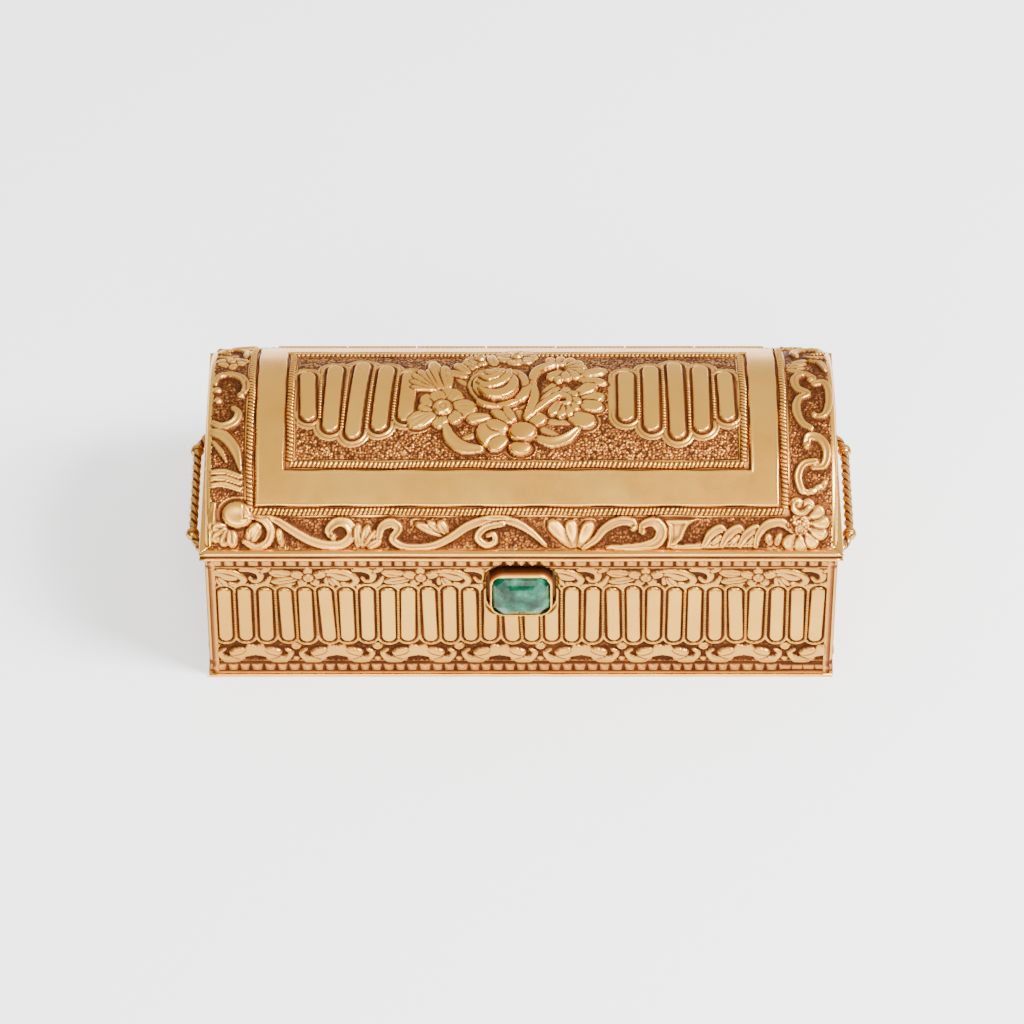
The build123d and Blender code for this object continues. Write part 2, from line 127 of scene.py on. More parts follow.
class Relief:
    """Heights in millimetres over a grid of surface coordinates."""

    def __init__(self, u0, u1, v0, v1, pitch):
        self.columns = int(round((u1 - u0) / pitch)) + 1
        self.rows = int(round((v1 - v0) / pitch)) + 1
        self.pitch = pitch
        across = np.linspace(u0, u1, self.columns)
        along = np.linspace(v0, v1, self.rows)
        self.u, self.v = np.meshgrid(across, along, indexing="ij")
        self.height = np.zeros_like(self.u)
        self.grain = np.ones_like(self.u)
        # real stains and painted shade, both added to the patina when it settles
        self.stain_and_shade = np.zeros_like(self.u)

    def near(self, u0, u1, v0, v1):
        return np.nonzero((self.u > u0) & (self.u < u1) & (self.v > v0) & (self.v < v1))

    def lift(self, at, q, height, floor=0.0, flat=0.0, groove=0.07, reach=1.35, shape=1.0):
        """Raises a form over q < 1 (0 at its middle, 1 at its edge), with a chased line round it."""
        dome = np.sqrt(np.clip(1 - q**2, 0, 1))
        if flat:
            dome = (1 - flat) * dome + flat * smooth(1.0, 0.75, q)
        old = self.height[at]
        line = groove * smooth(reach, 1.0, q) * (q >= 1)
        raised = floor + height * dome * shape
        self.height[at] = np.where(q < 1, np.maximum(raised, old - 0.12), old - line)
        self.grain[at] = np.where(q < reach, 0.0, self.grain[at])

    def stroke(self, points, widths, height, floor=0.0, flat=0.35, groove=0.07, vein=0.0, hollow=0.0):
        """A band along a curve, its half-widths given at even steps; a hollow one is a shallow channel."""
        length = np.linalg.norm(np.diff(np.array(points, float), axis=0), axis=1).sum()
        count = max(12, int(length / 0.12))
        path = curve_through(points, count)
        half = np.interp(np.linspace(0, 1, count), np.linspace(0, 1, len(widths)), widths)
        reach = half.max() * 1.5 + 0.1
        at = self.near(path[:, 0].min() - reach, path[:, 0].max() + reach,
                       path[:, 1].min() - reach, path[:, 1].max() + reach)
        if not len(at[0]):
            return
        u, v = self.u[at], self.v[at]
        q = np.full(u.shape, 9.0)
        side = np.zeros(u.shape)
        step = np.gradient(path, axis=0)
        step /= np.linalg.norm(step, axis=1)[:, None]
        for (pu, pv), (su, sv), w in zip(path, step, half):
            d = np.hypot(u - pu, v - pv) / max(w, 0.05)
            closer = d < q
            q = np.where(closer, d, q)
            side = np.where(closer, (su * (v - pv) - sv * (u - pu)) / max(w, 0.05), side)
        shape = 1 - hollow * np.clip(1 - ((side - 0.15) / 0.72) ** 2, 0, 1)
        self.lift(at, q, height, floor, max(flat, hollow), groove, shape=shape)
        if vein:
            self.height[at] -= vein * hump(q, 0, 0.28) * (q < 1)

    def leaf(self, root, tip, width, height, floor=0.0, crease=0.0, ribs=0, cup=0.0, groove=0.07, wide=0.6):
        """A petal or leaf from its root to its tip, widest near the tip, ribbed and hollowed if asked."""
        du, dv = tip[0] - root[0], tip[1] - root[1]
        length = math.hypot(du, dv)
        reach = length + width
        at = self.near(root[0] - reach, root[0] + reach, root[1] - reach, root[1] + reach)
        if not len(at[0]):
            return
        u, v = self.u[at] - root[0], self.v[at] - root[1]
        p = (u * du + v * dv) / length**2
        r = (-u * dv + v * du) / length
        along = np.where(p < wide, (p - wide) / wide, (p - wide) / (1 - wide))
        q = np.hypot(along, r / (width / 2))
        w = r / (width / 2)
        tilt = 0.55 + 0.45 * np.clip(p, 0, 1)
        shape = tilt * (1 - cup * np.exp(-((along / 0.75) ** 2) - (w / 0.6) ** 2))
        self.lift(at, q, height, floor, 0.3, groove, shape=shape)
        inside = q < 1
        if crease:
            self.height[at] -= crease * hump(w, 0, 0.16) * inside * smooth(1.0, 0.7, p)
        if ribs:
            fan = np.arctan2(r, (p + 0.25) * length) / math.atan2(width / 2, length * (wide + 0.25))
            self.height[at] -= 0.07 * (0.5 - 0.5 * np.cos(np.pi * fan * ribs)) * inside * smooth(0.15, 0.5, p)

    def ring(self, u, v, radius, width, height, floor=0.0):
        """A raised ring with a dot in its middle."""
        at = self.near(u - 2 * radius, u + 2 * radius, v - 2 * radius, v + 2 * radius)
        r = np.hypot(self.u[at] - u, self.v[at] - v)
        self.height[at] = np.where(r < radius, floor, self.height[at])
        self.height[at] += height * hump(r, radius - width / 2, 0.5 * width)
        self.height[at] += 0.8 * height * hump(r, 0, 0.28 * radius)
        self.height[at] -= 0.1 * hump(r, radius + 0.1, 0.1)
        self.grain[at] = np.where(r < radius + 0.15, 0, self.grain[at])

    def patch(self, corners, height, floor=0.0, edge=0.35, hollow=0.0):
        """A flat form with straight sides between its corners."""
        c = np.array(corners, float)
        at = self.near(c[:, 0].min() - 1, c[:, 0].max() + 1, c[:, 1].min() - 1, c[:, 1].max() + 1)
        u, v = self.u[at], self.v[at]
        distance = np.full(u.shape, 9.0)
        inside = np.zeros(u.shape, bool)
        for (au, av), (bu, bv) in zip(c, np.roll(c, -1, axis=0)):
            du, dv = bu - au, bv - av
            f = np.clip(((u - au) * du + (v - av) * dv) / (du**2 + dv**2), 0, 1)
            distance = np.minimum(distance, np.hypot(u - au - f * du, v - av - f * dv))
            if abs(dv) > 1e-9:
                inside ^= ((av > v) != (bv > v)) & (u < du * (v - av) / dv + au)
        q = np.where(inside, 1 - np.clip(distance / edge, 0, 1), 1 + distance / 0.5)
        shape = 1 - hollow * smooth(edge * 0.6, edge * 2.0, distance)
        self.lift(at, q, height, floor, 0.6, shape=np.where(inside, shape, 1))

    def oval(self, u, v, length, width, turn, height, floor=0.0, flat=0.0, crease=0.0,
             groove=0.07, reach=1.35):
        """A boss or small leaf: an oval, with a crease along it if asked."""
        wide = max(length, width)
        at = self.near(u - wide, u + wide, v - wide, v + wide)
        du, dv = self.u[at] - u, self.v[at] - v
        c, s = math.cos(math.radians(turn)), math.sin(math.radians(turn))
        p = (du * c + dv * s) / (length / 2)
        w = (-du * s + dv * c) / (width / 2)
        q = np.hypot(p, w)
        self.lift(at, q, height, floor, flat, groove, reach)
        if crease:
            self.height[at] -= crease * hump(w, 0, 0.22) * (q < 1) * smooth(1.0, 0.6, p)

    def capsule(self, u, v, length, width, lean):
        """Distance from the edge of an upright round-ended flute, and how far along it each point is."""
        s = math.sin(math.radians(lean))
        du = self.u - u - (self.v - v) * s
        dv = self.v - v
        core = np.clip(dv, -(length - width) / 2, (length - width) / 2)
        return np.hypot(du, dv - core) - width / 2, np.abs(dv) - (length - width) / 2

    def spiral(self, u, v, radius, start, turns, width, height, floor=0.0, hand=1):
        """A volute that winds in to a small knob."""
        steps = 14
        points = []
        for n in range(steps + 1):
            t = n / steps
            angle = math.radians(start) + hand * 2 * math.pi * turns * t
            r = radius * (1 - 0.85 * t)
            points.append((u + r * math.cos(angle), v + r * math.sin(angle)))
        self.stroke(points, (width, width * 0.8, width * 0.55), height, floor)
        self.oval(u, v, 2 * width, 2 * width, 0, height, floor + 0.03)

    def blurred(self, field, radius):
        """The field blurred over a radius in millimetres."""
        reach = max(1, int(radius * 2.5 / self.pitch))
        weights = np.exp(-0.5 * (np.arange(-reach, reach + 1) * self.pitch / radius) ** 2)
        weights /= weights.sum()
        for axis in (0, 1):
            pad = [(reach, reach) if a == axis else (0, 0) for a in (0, 1)]
            wide = np.pad(field, pad, mode="edge")
            count = field.shape[axis]
            total = np.zeros_like(field)
            for k, weight in enumerate(weights):
                part = wide[k:k + count, :] if axis == 0 else wide[:, k:k + count]
                total += weight * part
            field = total
        return field

    def pebble(self, depth, size):
        """Strikes the ground with a matting punch, after its colour has settled."""
        self.settle()
        bumps = self.blurred(rng.normal(0, 1, self.u.shape), size)
        bumps = np.clip(bumps / bumps.std(), -2, 2) * self.blurred(self.grain, 0.12)
        self.height += depth * bumps
        self.patina_and_shade = np.clip(self.patina_and_shade - 0.09 * bumps, 0, 1)

    def settle(self):
        """Works out how much dark colour has stayed in each hollow, and adds the stains and painted shade
        laid on before.
        """
        near = self.blurred(self.height, 0.16)
        wide = self.blurred(self.height, 0.5)
        hollow = np.clip((near - self.height) / 0.05, 0, 1)
        low = np.clip((wide - self.height) / 0.15, 0, 1)
        ground = 0.34 * self.grain * smooth(0.3, 0.05, self.height)
        self.patina_and_shade = np.clip(0.5 * hollow + 0.7 * low + ground + self.stain_and_shade, 0, 1)


# Meshes

def new_mesh(name, points, faces, smooth_faces=True, attributes=None):
    """Mesh object from points in millimetres. faces is a list of index arrays, each with one row per face."""
    mesh = bpy.data.meshes.new(name)
    loops = np.concatenate([np.asarray(f, np.int32).ravel() for f in faces])
    sizes = np.concatenate([np.full(len(f), len(f[0]), np.int32) for f in faces])
    starts = np.concatenate([[0], np.cumsum(sizes)[:-1]]).astype(np.int32)
    mesh.vertices.add(len(points))
    mesh.vertices.foreach_set("co", (np.asarray(points, np.float64) * MM).astype(np.float32).ravel())
    mesh.loops.add(len(loops))
    mesh.loops.foreach_set("vertex_index", loops)
    mesh.polygons.add(len(sizes))
    mesh.polygons.foreach_set("loop_start", starts)
    mesh.polygons.foreach_set("loop_total", sizes)
    mesh.update(calc_edges=True)
    mesh.polygons.foreach_set("use_smooth", np.full(len(sizes), smooth_faces, bool))
    for key, values in (attributes or {}).items():
        layer = mesh.attributes.new(key, "FLOAT", "POINT")
        layer.data.foreach_set("value", np.asarray(values, np.float32).ravel())
    mesh.validate()
    obj = bpy.data.objects.new(name, mesh)
    bpy.context.scene.collection.objects.link(obj)
    return obj


def grid_faces(columns, rows):
    """Quads over a grid of points that is stored column by column."""
    index = np.arange(columns * rows).reshape(columns, rows)
    quads = [index[:-1, :-1], index[1:, :-1], index[1:, 1:], index[:-1, 1:]]
    return np.stack([q.ravel() for q in quads], -1)


def border_quads(quads, count):
    """Quads from the open border of a sheet to the same points of its back, which lie count further on."""
    edges = np.concatenate([quads[:, [k, (k + 1) % 4]] for k in range(4)])
    code = edges[:, 0].astype(np.int64) * count + edges[:, 1]
    twin = edges[:, 1].astype(np.int64) * count + edges[:, 0]
    border = edges[~np.isin(code, twin)]
    return np.stack([border[:, 1], border[:, 0], border[:, 0] + count, border[:, 1] + count], -1)


def ring_faces(rings, sides, closed=False):
    """Quads between rings of points, and a face at each end or, if closed, quads from last to first."""
    index = np.arange(rings * sides).reshape(rings, sides)
    after = np.roll(index, -1, axis=1)
    quads = np.stack([index[:-1].ravel(), index[1:].ravel(), after[1:].ravel(), after[:-1].ravel()], -1)
    if closed:
        return [quads, np.stack([index[-1], index[0], after[0], after[-1]], -1)]
    return [quads, index[0][None, :], index[-1, ::-1][None, :]]


def turned(faces):
    return [f[:, ::-1] for f in faces]


def sheet_mesh(name, relief, surface, back, flip=False):
    """Closed sheet: the relief in front, and a smooth back at a lower height."""
    c, r = relief.columns, relief.rows
    front = surface(relief.u, relief.v, relief.height).reshape(-1, 3)
    ends = np.array([0, -1])
    rear = surface(relief.u[ends], relief.v[ends], np.full((2, r), back)).reshape(-1, 3)
    base = c * r
    index = np.arange(base).reshape(c, r)
    left = base + np.arange(r)
    right = base + r + np.arange(r)
    faces = [grid_faces(c, r)]
    faces.append(np.stack([left[:-1], left[1:], right[1:], right[:-1]], -1))
    faces.append(np.stack([index[0, :-1], index[0, 1:], left[1:], left[:-1]], -1))
    faces.append(np.stack([index[-1, 1:], index[-1, :-1], right[:-1], right[1:]], -1))
    low_edge = np.concatenate([[left[0], right[0]], index[::-1, 0]])
    high_edge = np.concatenate([index[:, -1], [right[-1], left[-1]]])
    faces.append(low_edge[None, :])
    faces.append(high_edge[None, :])
    if flip:
        faces = turned(faces)
    points = np.vstack([front, rear])
    extra = np.zeros(len(rear))
    data = {
        "patina_and_shade": np.concatenate([relief.patina_and_shade.ravel(), extra]),
        "grain": np.concatenate([relief.grain.ravel(), extra]),
    }
    return new_mesh(name, points, faces, attributes=data)


def pierced_sheet_mesh(name, relief, surface, back, outline, flip=False):
    """As sheet_mesh, with a hole where outline(u, v) is below 0. Points close to the edge move onto it."""
    distance = outline(relief.u, relief.v)
    step = 0.01
    slope_u = (outline(relief.u + step, relief.v) - outline(relief.u - step, relief.v)) / (2 * step)
    slope_v = (outline(relief.u, relief.v + step) - outline(relief.u, relief.v - step)) / (2 * step)
    on_edge = np.abs(distance) < 0.72 * relief.pitch
    u = np.where(on_edge, relief.u - distance * slope_u, relief.u)
    v = np.where(on_edge, relief.v - distance * slope_v, relief.v)
    value = np.where(on_edge, 0.0, distance).ravel()
    quads = grid_faces(relief.columns, relief.rows)
    inside = (value[quads].max(1) <= 0) & (distance.ravel()[quads].mean(1) < 0)
    keep = quads[~inside]
    front = surface(u, v, relief.height).reshape(-1, 3)
    rear = surface(u, v, np.full_like(u, back)).reshape(-1, 3)
    count = len(front)
    faces = [keep, keep[:, ::-1] + count, border_quads(keep, count)]
    if flip:
        faces = turned(faces)
    used = np.unique(keep)
    renumber = np.full(2 * count, -1)
    both = np.concatenate([used, used + count])
    renumber[both] = np.arange(len(both))
    faces = [renumber[f] for f in faces]
    points = np.vstack([front, rear])[both]
    # The back points are fully dark, so the back and the sides of the opening run to dark: painted shade
    # inside the hole and the box.
    extra = np.ones(len(used))
    data = {
        "patina_and_shade": np.concatenate([relief.patina_and_shade.ravel()[used], extra]),
        "grain": np.concatenate([relief.grain.ravel()[used], extra]),
    }
    return new_mesh(name, points, faces, attributes=data)


def ridged_strip(surface, points, half_width, height, pitch, slant, base, wobble=0.0):
    """A rope or row of beads laid on a surface along a line: points, faces and patina of its closed strip."""
    path = np.array(points, float)
    seg = np.linalg.norm(np.diff(path, axis=0), axis=1)
    total = seg.sum()
    per_ridge = 6
    count = int(total / pitch * per_ridge) + 1
    t = np.linspace(0, total, count)
    knots = np.concatenate([[0], np.cumsum(seg)])
    u = np.interp(t, knots, path[:, 0])
    v = np.interp(t, knots, path[:, 1])
    du, dv = np.gradient(u), np.gradient(v)
    norm = np.hypot(du, dv)
    nu, nv = -dv / norm, du / norm
    drift = wobble * (np.sin(t * 0.37 + points[0][0]) + 0.6 * np.sin(t * 0.91 + points[0][1]))
    across = np.linspace(-1, 1, 7)
    tt, aa = np.meshgrid(t, across, indexing="ij")
    phase = tt / pitch + slant * aa + 0.15 * np.sin(tt * 1.7)
    ridge = np.abs(np.sin(np.pi * phase)) ** 0.8
    round_top = np.sqrt(np.clip(1 - 0.96 * aa**2, 0, 1))
    h = base + height * round_top * (0.25 + 0.75 * ridge)
    h[:, 0] = h[:, -1] = base - STRIP_SINK
    uu = u[:, None] + (aa * half_width + drift[:, None]) * nu[:, None]
    vv = v[:, None] + (aa * half_width + drift[:, None]) * nv[:, None]
    top = surface(uu, vv, h)
    columns, rows = top.shape[:2]
    quads = grid_faces(columns, rows)
    index = np.arange(columns * rows).reshape(columns, rows)
    under = np.stack([index[:-1, -1], index[1:, -1], index[1:, 0], index[:-1, 0]], -1)
    caps = [index[0, :][None, :], index[-1, ::-1][None, :]]
    dark = 0.85 * smooth(0.85, 0.45, ridge) + 0.7 * (np.abs(aa) > 0.8)
    return top.reshape(-1, 3), [quads, under] + caps, np.clip(dark, 0, 1).ravel()


def tube(path, radius, sides=16, lobes=None):
    """Closed round bar along a path. radius is one number or one per point; lobes shapes its section."""
    p = np.array(path, float)
    along = np.concatenate([[0], np.cumsum(np.linalg.norm(np.diff(p, axis=0), axis=1))])
    tangent = np.gradient(p, axis=0)
    tangent /= np.linalg.norm(tangent, axis=1)[:, None]
    side = np.cross(tangent, np.array([0.0, 0.0, 1.0]))
    side /= np.linalg.norm(side, axis=1)[:, None]
    top = np.cross(side, tangent)
    turn = np.linspace(0, 2 * np.pi, sides, endpoint=False)
    r = np.broadcast_to(np.asarray(radius, float), (len(p),))[:, None] * np.ones(sides)[None, :]
    dark = np.zeros_like(r)
    if lobes is not None:
        factor = lobes(turn[None, :], along[:, None])
        r = r * factor
        dark = np.clip((0.93 - factor) * 4, 0, 1)
    out = np.cos(turn)[None, :, None] * side[:, None, :] + np.sin(turn)[None, :, None] * top[:, None, :]
    ring = p[:, None, :] + r[..., None] * out
    return ring.reshape(-1, 3), ring_faces(len(p), sides), dark.ravel()


def join_parts(name, parts, flip=False):
    """One mesh of several closed parts, each (points, faces, patina)."""
    points, faces, dark, offset = [], [], [], 0
    for part_points, part_faces, part_dark in parts:
        points.append(part_points)
        faces += [np.asarray(f) + offset for f in part_faces]
        dark.append(part_dark)
        offset += len(part_points)
    if flip:
        faces = turned(faces)
    return new_mesh(name, np.vstack(points), faces, attributes={"patina_and_shade": np.concatenate(dark)})


# Chased work on the lid, in millimetres: x along the box, arc from the crown towards the front

LID_PITCH = 0.13
WALL_PITCH = 0.12
STRIP_SINK = 0.12
BAND = 0.30
ORNAMENT_SHIFT = -0.5
OUTER_ROPE_X = 31.85
OUTER_ROPE_ARC = 15.65
INNER_ROPE_X = 27.1
INNER_ROPE_ARC = 9.95
ROPE_HALF = 0.5
BORDER_HALF = LID_HALF_ARC - 0.15


def beyond_frame(relief, x, arc):
    """How far outside a rectangular line on the lid each point is; negative inside it."""
    return np.maximum(np.abs(relief.u - ORNAMENT_SHIFT) - x, np.abs(relief.v) - arc)


def lid_bands(relief):
    """The plain band between the two ropes, and the grooves that the ropes lie in."""
    to_outer = beyond_frame(relief, OUTER_ROPE_X, OUTER_ROPE_ARC)
    to_inner = beyond_frame(relief, INNER_ROPE_X, INNER_ROPE_ARC)
    wave = 0.05 * np.sin(relief.u * 0.8) + 0.04 * np.sin(relief.v * 1.1 + 1)
    rise = BAND * smooth(0.0, -0.15, to_outer + ROPE_HALF + 0.12 + wave)
    rise *= smooth(0.0, 0.15, to_inner - ROPE_HALF - 0.12 + wave)
    relief.height = np.where((to_outer < 0) & (to_inner > 0), rise, relief.height)
    relief.grain[(to_outer < ROPE_HALF + 0.2) & (to_inner > -ROPE_HALF - 0.2)] = 0
    for edge in (to_outer, to_inner):
        away = np.abs(edge + wave * 0.6) - ROPE_HALF
        relief.height += 0.07 * hump(away, 0.34, 0.09)
        relief.height -= 0.08 * hump(away, 0.18, 0.1)


def flute_fan(relief, side):
    """Five flutes with a raised line round their ends. Returns the lines between them."""
    lengths = (8.8, 11.6, 13.6, 11.8, 8.6)
    leans = (4.0, 4.5, 5.0, 2.5, -2.0) if side < 0 else (0.5, 0.0, -1.0, 0.0, -1.5)
    width = 2.0
    pitch = 3.0
    first = 13.1
    centre_arc = -0.2
    nearest = np.full_like(relief.u, 9.0)
    beyond = np.full_like(relief.u, -9.0)
    middles = []
    for n, (length, lean) in enumerate(zip(lengths, leans)):
        u = ORNAMENT_SHIFT + side * (first + n * pitch)
        middles.append((u, length, lean))
        edge, past = relief.capsule(u, centre_arc, length, width * (1 + 0.04 * math.sin(3 * n)), -lean)
        beyond = np.where(edge < nearest, past, beyond)
        nearest = np.minimum(nearest, edge)
    relief.height = np.where(nearest < 0.5, relief.height * smooth(0.2, 0.5, nearest), relief.height)
    relief.height += 0.36 * smooth(0.06, -0.2, nearest)
    near_end = smooth(-0.9, 0.2, beyond)
    relief.height += (0.22 * hump(nearest, 0.52, 0.17) + 0.12 * hump(nearest, 0.95, 0.13)) * near_end
    relief.height -= 0.05 * hump(nearest, 0.12, 0.1)
    relief.grain[nearest < 1.15] = 0
    beads = []
    for (u0, l0, a0), (u1, l1, a1) in zip(middles, middles[1:]):
        half = min(l0, l1) / 2 - 0.35
        u = (u0 + u1) / 2
        lean = math.sin(math.radians(-(a0 + a1) / 2))
        beads.append(((u - lean * half, centre_arc - half), (u + lean * half, centre_arc + half)))
    return beads


def rose(relief, u, v):
    """Half-open rose: wide outer petals round a bud of folded ones."""
    petals = ((200, 3.7, 3.4), (150, 3.5, 3.6), (100, 3.9, 4.2), (55, 3.9, 4.0), (10, 4.2, 4.2),
              (-35, 4.2, 4.2), (-80, 4.0, 4.4), (-125, 3.8, 4.0))
    for turn, reach, width in petals:
        a = math.radians(turn)
        tip = (u + 0.25 + reach * math.cos(a), v + 0.2 + reach * 0.95 * math.sin(a))
        relief.leaf((u, v), tip, width, 0.42, 0.2, cup=0.3, groove=0.05, wide=0.75)
    relief.oval(u, v, 5.6, 5.5, -15, 0.62, 0.42, flat=0.25, groove=0.2, reach=1.18)
    # bright outer fold round the lower right, then the folds inside it
    turns = [math.radians(a) for a in range(-45, 175, 20)]
    arc = [(2.15 * math.cos(a), 2.05 * math.sin(a)) for a in turns]
    inner = [(-2.2, -0.1), (-1.2, 0.7), (0.2, 0.3), (1.4, -0.9), (1.7, -2.0)]
    folds = (
        (arc, (0.25, 0.6, 0.75, 0.75, 0.6, 0.25), 0.26, 0.86, 0.16),
        (inner, (0.2, 0.5, 0.6, 0.55, 0.25), 0.22, 0.98, 0.16),
        ([(-2.0, -1.0), (-0.9, -0.5), (0.2, -1.0), (0.9, -2.1)], (0.2, 0.42, 0.48, 0.2), 0.2, 1.04, 0.16),
        ([(-1.2, -1.9), (-0.5, -1.5), (-0.1, -2.2)], (0.2, 0.4, 0.2), 0.18, 1.0, 0.14),
    )
    for points, widths, height, floor, groove in folds:
        relief.stroke([(u + a, v + b) for a, b in points], widths, height, floor, groove=groove)


def flower_head(relief, u, v, petals, ring, floor=0.2, height=0.42):
    """Open flower: ribbed petals of their own lengths and widths round a ringed boss."""
    for turn, reach, width in petals:
        a = math.radians(turn)
        root = (u + 0.5 * ring * math.cos(a), v + 0.5 * ring * math.sin(a))
        tip = (u + reach * math.cos(a), v + reach * math.sin(a))
        relief.leaf(root, tip, width, height, floor, cup=0.35, ribs=4, wide=0.66)
    relief.oval(u, v, 2.5 * ring, 2.5 * ring, 0, 0.3, floor + 0.2, groove=0.1)
    relief.ring(u, v, ring, 0.5 * ring, 0.2, floor + 0.36)


def shell_curl(relief, lobes, rib, widths):
    """A curled leaf: fanned lobes beside a stout rib."""
    for root, tip, width in lobes:
        relief.leaf(root, tip, width, 0.44, 0.16, crease=0.07, cup=0.1, wide=0.7)
    relief.stroke(rib, widths, 0.36, 0.3, vein=0.08)


def flower_spray(relief):
    """The spray on the crown. Arc is positive towards the front."""
    # low stems that tie the leaves together
    hub = (-0.2, 3.0)
    for u, v in ((-8.5, -4.0), (5.5, -4.5), (8.6, -1.5), (8.2, 2.0), (6.8, 4.3), (-7.0, 6.6), (4.5, 6.2)):
        relief.stroke([hub, ((hub[0] + u) / 2, (hub[1] + v) / 2 + 0.4), (u, v)], (0.7, 0.5, 0.3), 0.1)
    # leaf fan, upper left
    fan = (((-13.4, -1.3), 1.1), ((-13.5, -2.5), 1.3), ((-13.2, -3.8), 1.3), ((-12.4, -4.9), 1.3),
           ((-11.3, -5.3), 1.4))
    for tip, width in fan:
        relief.leaf((-9.7, -1.2), tip, width, 0.42, 0.14, crease=0.05, wide=0.62)
    relief.leaf((-9.2, -1.0), (-10.8, -7.2), 1.8, 0.5, 0.18, crease=0.1, wide=0.6)
    relief.leaf((-8.7, -1.2), (-9.3, -5.9), 1.6, 0.46, 0.2, crease=0.1, wide=0.55)
    # small leaves and buds between fan and rose
    for root, tip, width in (((-6.3, -3.6), (-8.9, -4.4), 1.2), ((-6.2, -4.4), (-8.0, -6.6), 1.4),
                             ((-5.8, -5.3), (-6.6, -8.2), 1.2), ((-5.0, -6.0), (-7.2, -6.9), 1.0)):
        relief.leaf(root, tip, width, 0.4, 0.14, crease=0.12)
    flower_head(relief, -4.9, -8.0, [(k * 60 + 20, 1.7, 1.4) for k in range(6)], 0.5, 0.14, 0.34)
    relief.leaf((-3.2, -6.4), (-3.6, -9.3), 1.6, 0.4, 0.14, crease=0.12)
    # flower at the top
    petals = [(turn, 2.6, 2.0) for turn in (0, 45, 100, 160, 205, 260, 310)]
    flower_head(relief, -0.5, -9.0, petals, 0.6, 0.12, 0.4)
    # curled leaf at the top right, its stout rib rising from the stem
    lobes = []
    for n, turn in enumerate((-118, -92, -66, -38, -12, 14, 40)):
        a = math.radians(turn)
        reach = 3.6 - 0.12 * n
        lobes.append(((4.9, -5.2), (4.9 + reach * math.cos(a), -5.0 + reach * 1.05 * math.sin(a)), 1.45))
    for tip in ((4.3, -2.2), (5.6, -2.5), (3.2, -2.9)):
        lobes.append(((5.0, -5.0), tip, 1.3))
    shell_curl(relief, lobes, [(1.2, -1.8), (1.8, -4.4), (3.4, -5.9), (5.3, -6.1)], (0.55, 0.62, 0.55, 0.2))
    # leaves, right
    leaves = (((6.9, -3.9), (10.4, -4.9), 1.7, 3), ((6.8, -3.0), (10.4, -2.0), 1.3, 0),
              ((6.4, 0.2), (9.0, -1.9), 2.0, 3), ((6.9, 0.9), (10.1, 0.2), 1.6, 3),
              ((6.9, 1.4), (9.9, 2.2), 1.9, 3), ((5.6, 3.2), (8.9, 4.6), 2.4, 3))
    for root, tip, width, ribs in leaves:
        relief.leaf(root, tip, width, 0.44, 0.16, crease=0.1, ribs=ribs)
    # leaf blades between the stems
    relief.leaf((1.5, 2.9), (4.6, -1.5), 1.5, 0.34, 0.12, crease=0.1, wide=0.5)
    relief.leaf((1.7, 2.9), (5.2, -0.7), 1.2, 0.36, 0.16, crease=0.1, wide=0.5)
    # curled leaf, centre right
    lobes = []
    for n, turn in enumerate((-70, -35, 0, 32, 62, 92, 122)):
        a = math.radians(turn)
        lobes.append(((4.7, 0.9), (4.8 + 2.5 * math.cos(a), 1.2 + 2.6 * math.sin(a)), 1.35))
    rib = [(1.1, 3.4), (2.2, 2.2), (3.4, 1.0), (4.6, 0.2), (5.6, 0.6), (5.6, 1.5), (4.8, 1.6)]
    shell_curl(relief, lobes, rib, (0.3, 0.5, 0.5, 0.45, 0.42, 0.35, 0.2))
    # main stem
    stem = [(0.7, 3.6), (1.5, 1.0), (1.5, -1.0), (1.0, -2.3)]
    relief.stroke(stem, (0.5, 0.62, 0.55, 0.35), 0.36, 0.26, vein=0.08)
    rose(relief, -3.05, -1.6)
    petals = ((-62, 3.5, 2.9), (2, 4.1, 3.0), (45, 3.0, 1.9), (100, 3.1, 2.0),
              (148, 4.9, 2.5), (182, 3.0, 1.5), (-145, 3.2, 2.0), (-108, 2.9, 2.0))
    flower_head(relief, -9.4, 2.2, petals, 0.95)
    # leaves under the rose and the lower curls
    relief.leaf((-3.6, 3.5), (-6.6, 4.0), 1.6, 0.42, 0.2, crease=0.08)
    relief.leaf((-1.0, 4.4), (-3.6, 2.5), 1.4, 0.36, 0.2, crease=0.1, ribs=3, wide=0.5)
    relief.leaf((-0.7, 4.2), (-2.1, 2.0), 1.1, 0.36, 0.24, crease=0.1, wide=0.5)
    relief.leaf((0.8, 4.9), (3.0, 3.4), 1.7, 0.38, 0.2)
    curl = [(-9.0, 5.0), (-8.4, 6.6), (-6.9, 7.8), (-4.9, 8.0)]
    relief.stroke(curl, (0.45, 0.85, 0.85, 0.5), 0.42, 0.16, hollow=0.45)
    relief.leaf((-1.6, 5.2), (-5.3, 6.6), 3.6, 0.5, 0.24, cup=0.25, wide=0.62)
    relief.leaf((-1.6, 6.4), (-3.9, 8.1), 1.9, 0.36, 0.26, wide=0.6)
    relief.leaf((-1.4, 5.4), (-4.2, 4.5), 1.6, 0.36, 0.4, wide=0.6)
    curl = [(1.7, 6.5), (3.6, 7.1), (5.4, 6.6), (6.7, 5.4)]
    relief.stroke(curl, (0.4, 0.72, 0.72, 0.4), 0.42, 0.16, hollow=0.45)
    relief.oval(-0.1, 7.9, 2.9, 2.0, 0, 0.5, 0.24, flat=0.35, groove=0.14)
    relief.oval(0.2, 5.8, 3.4, 2.6, 0, 0.5, 0.42, flat=0.35, groove=0.18)


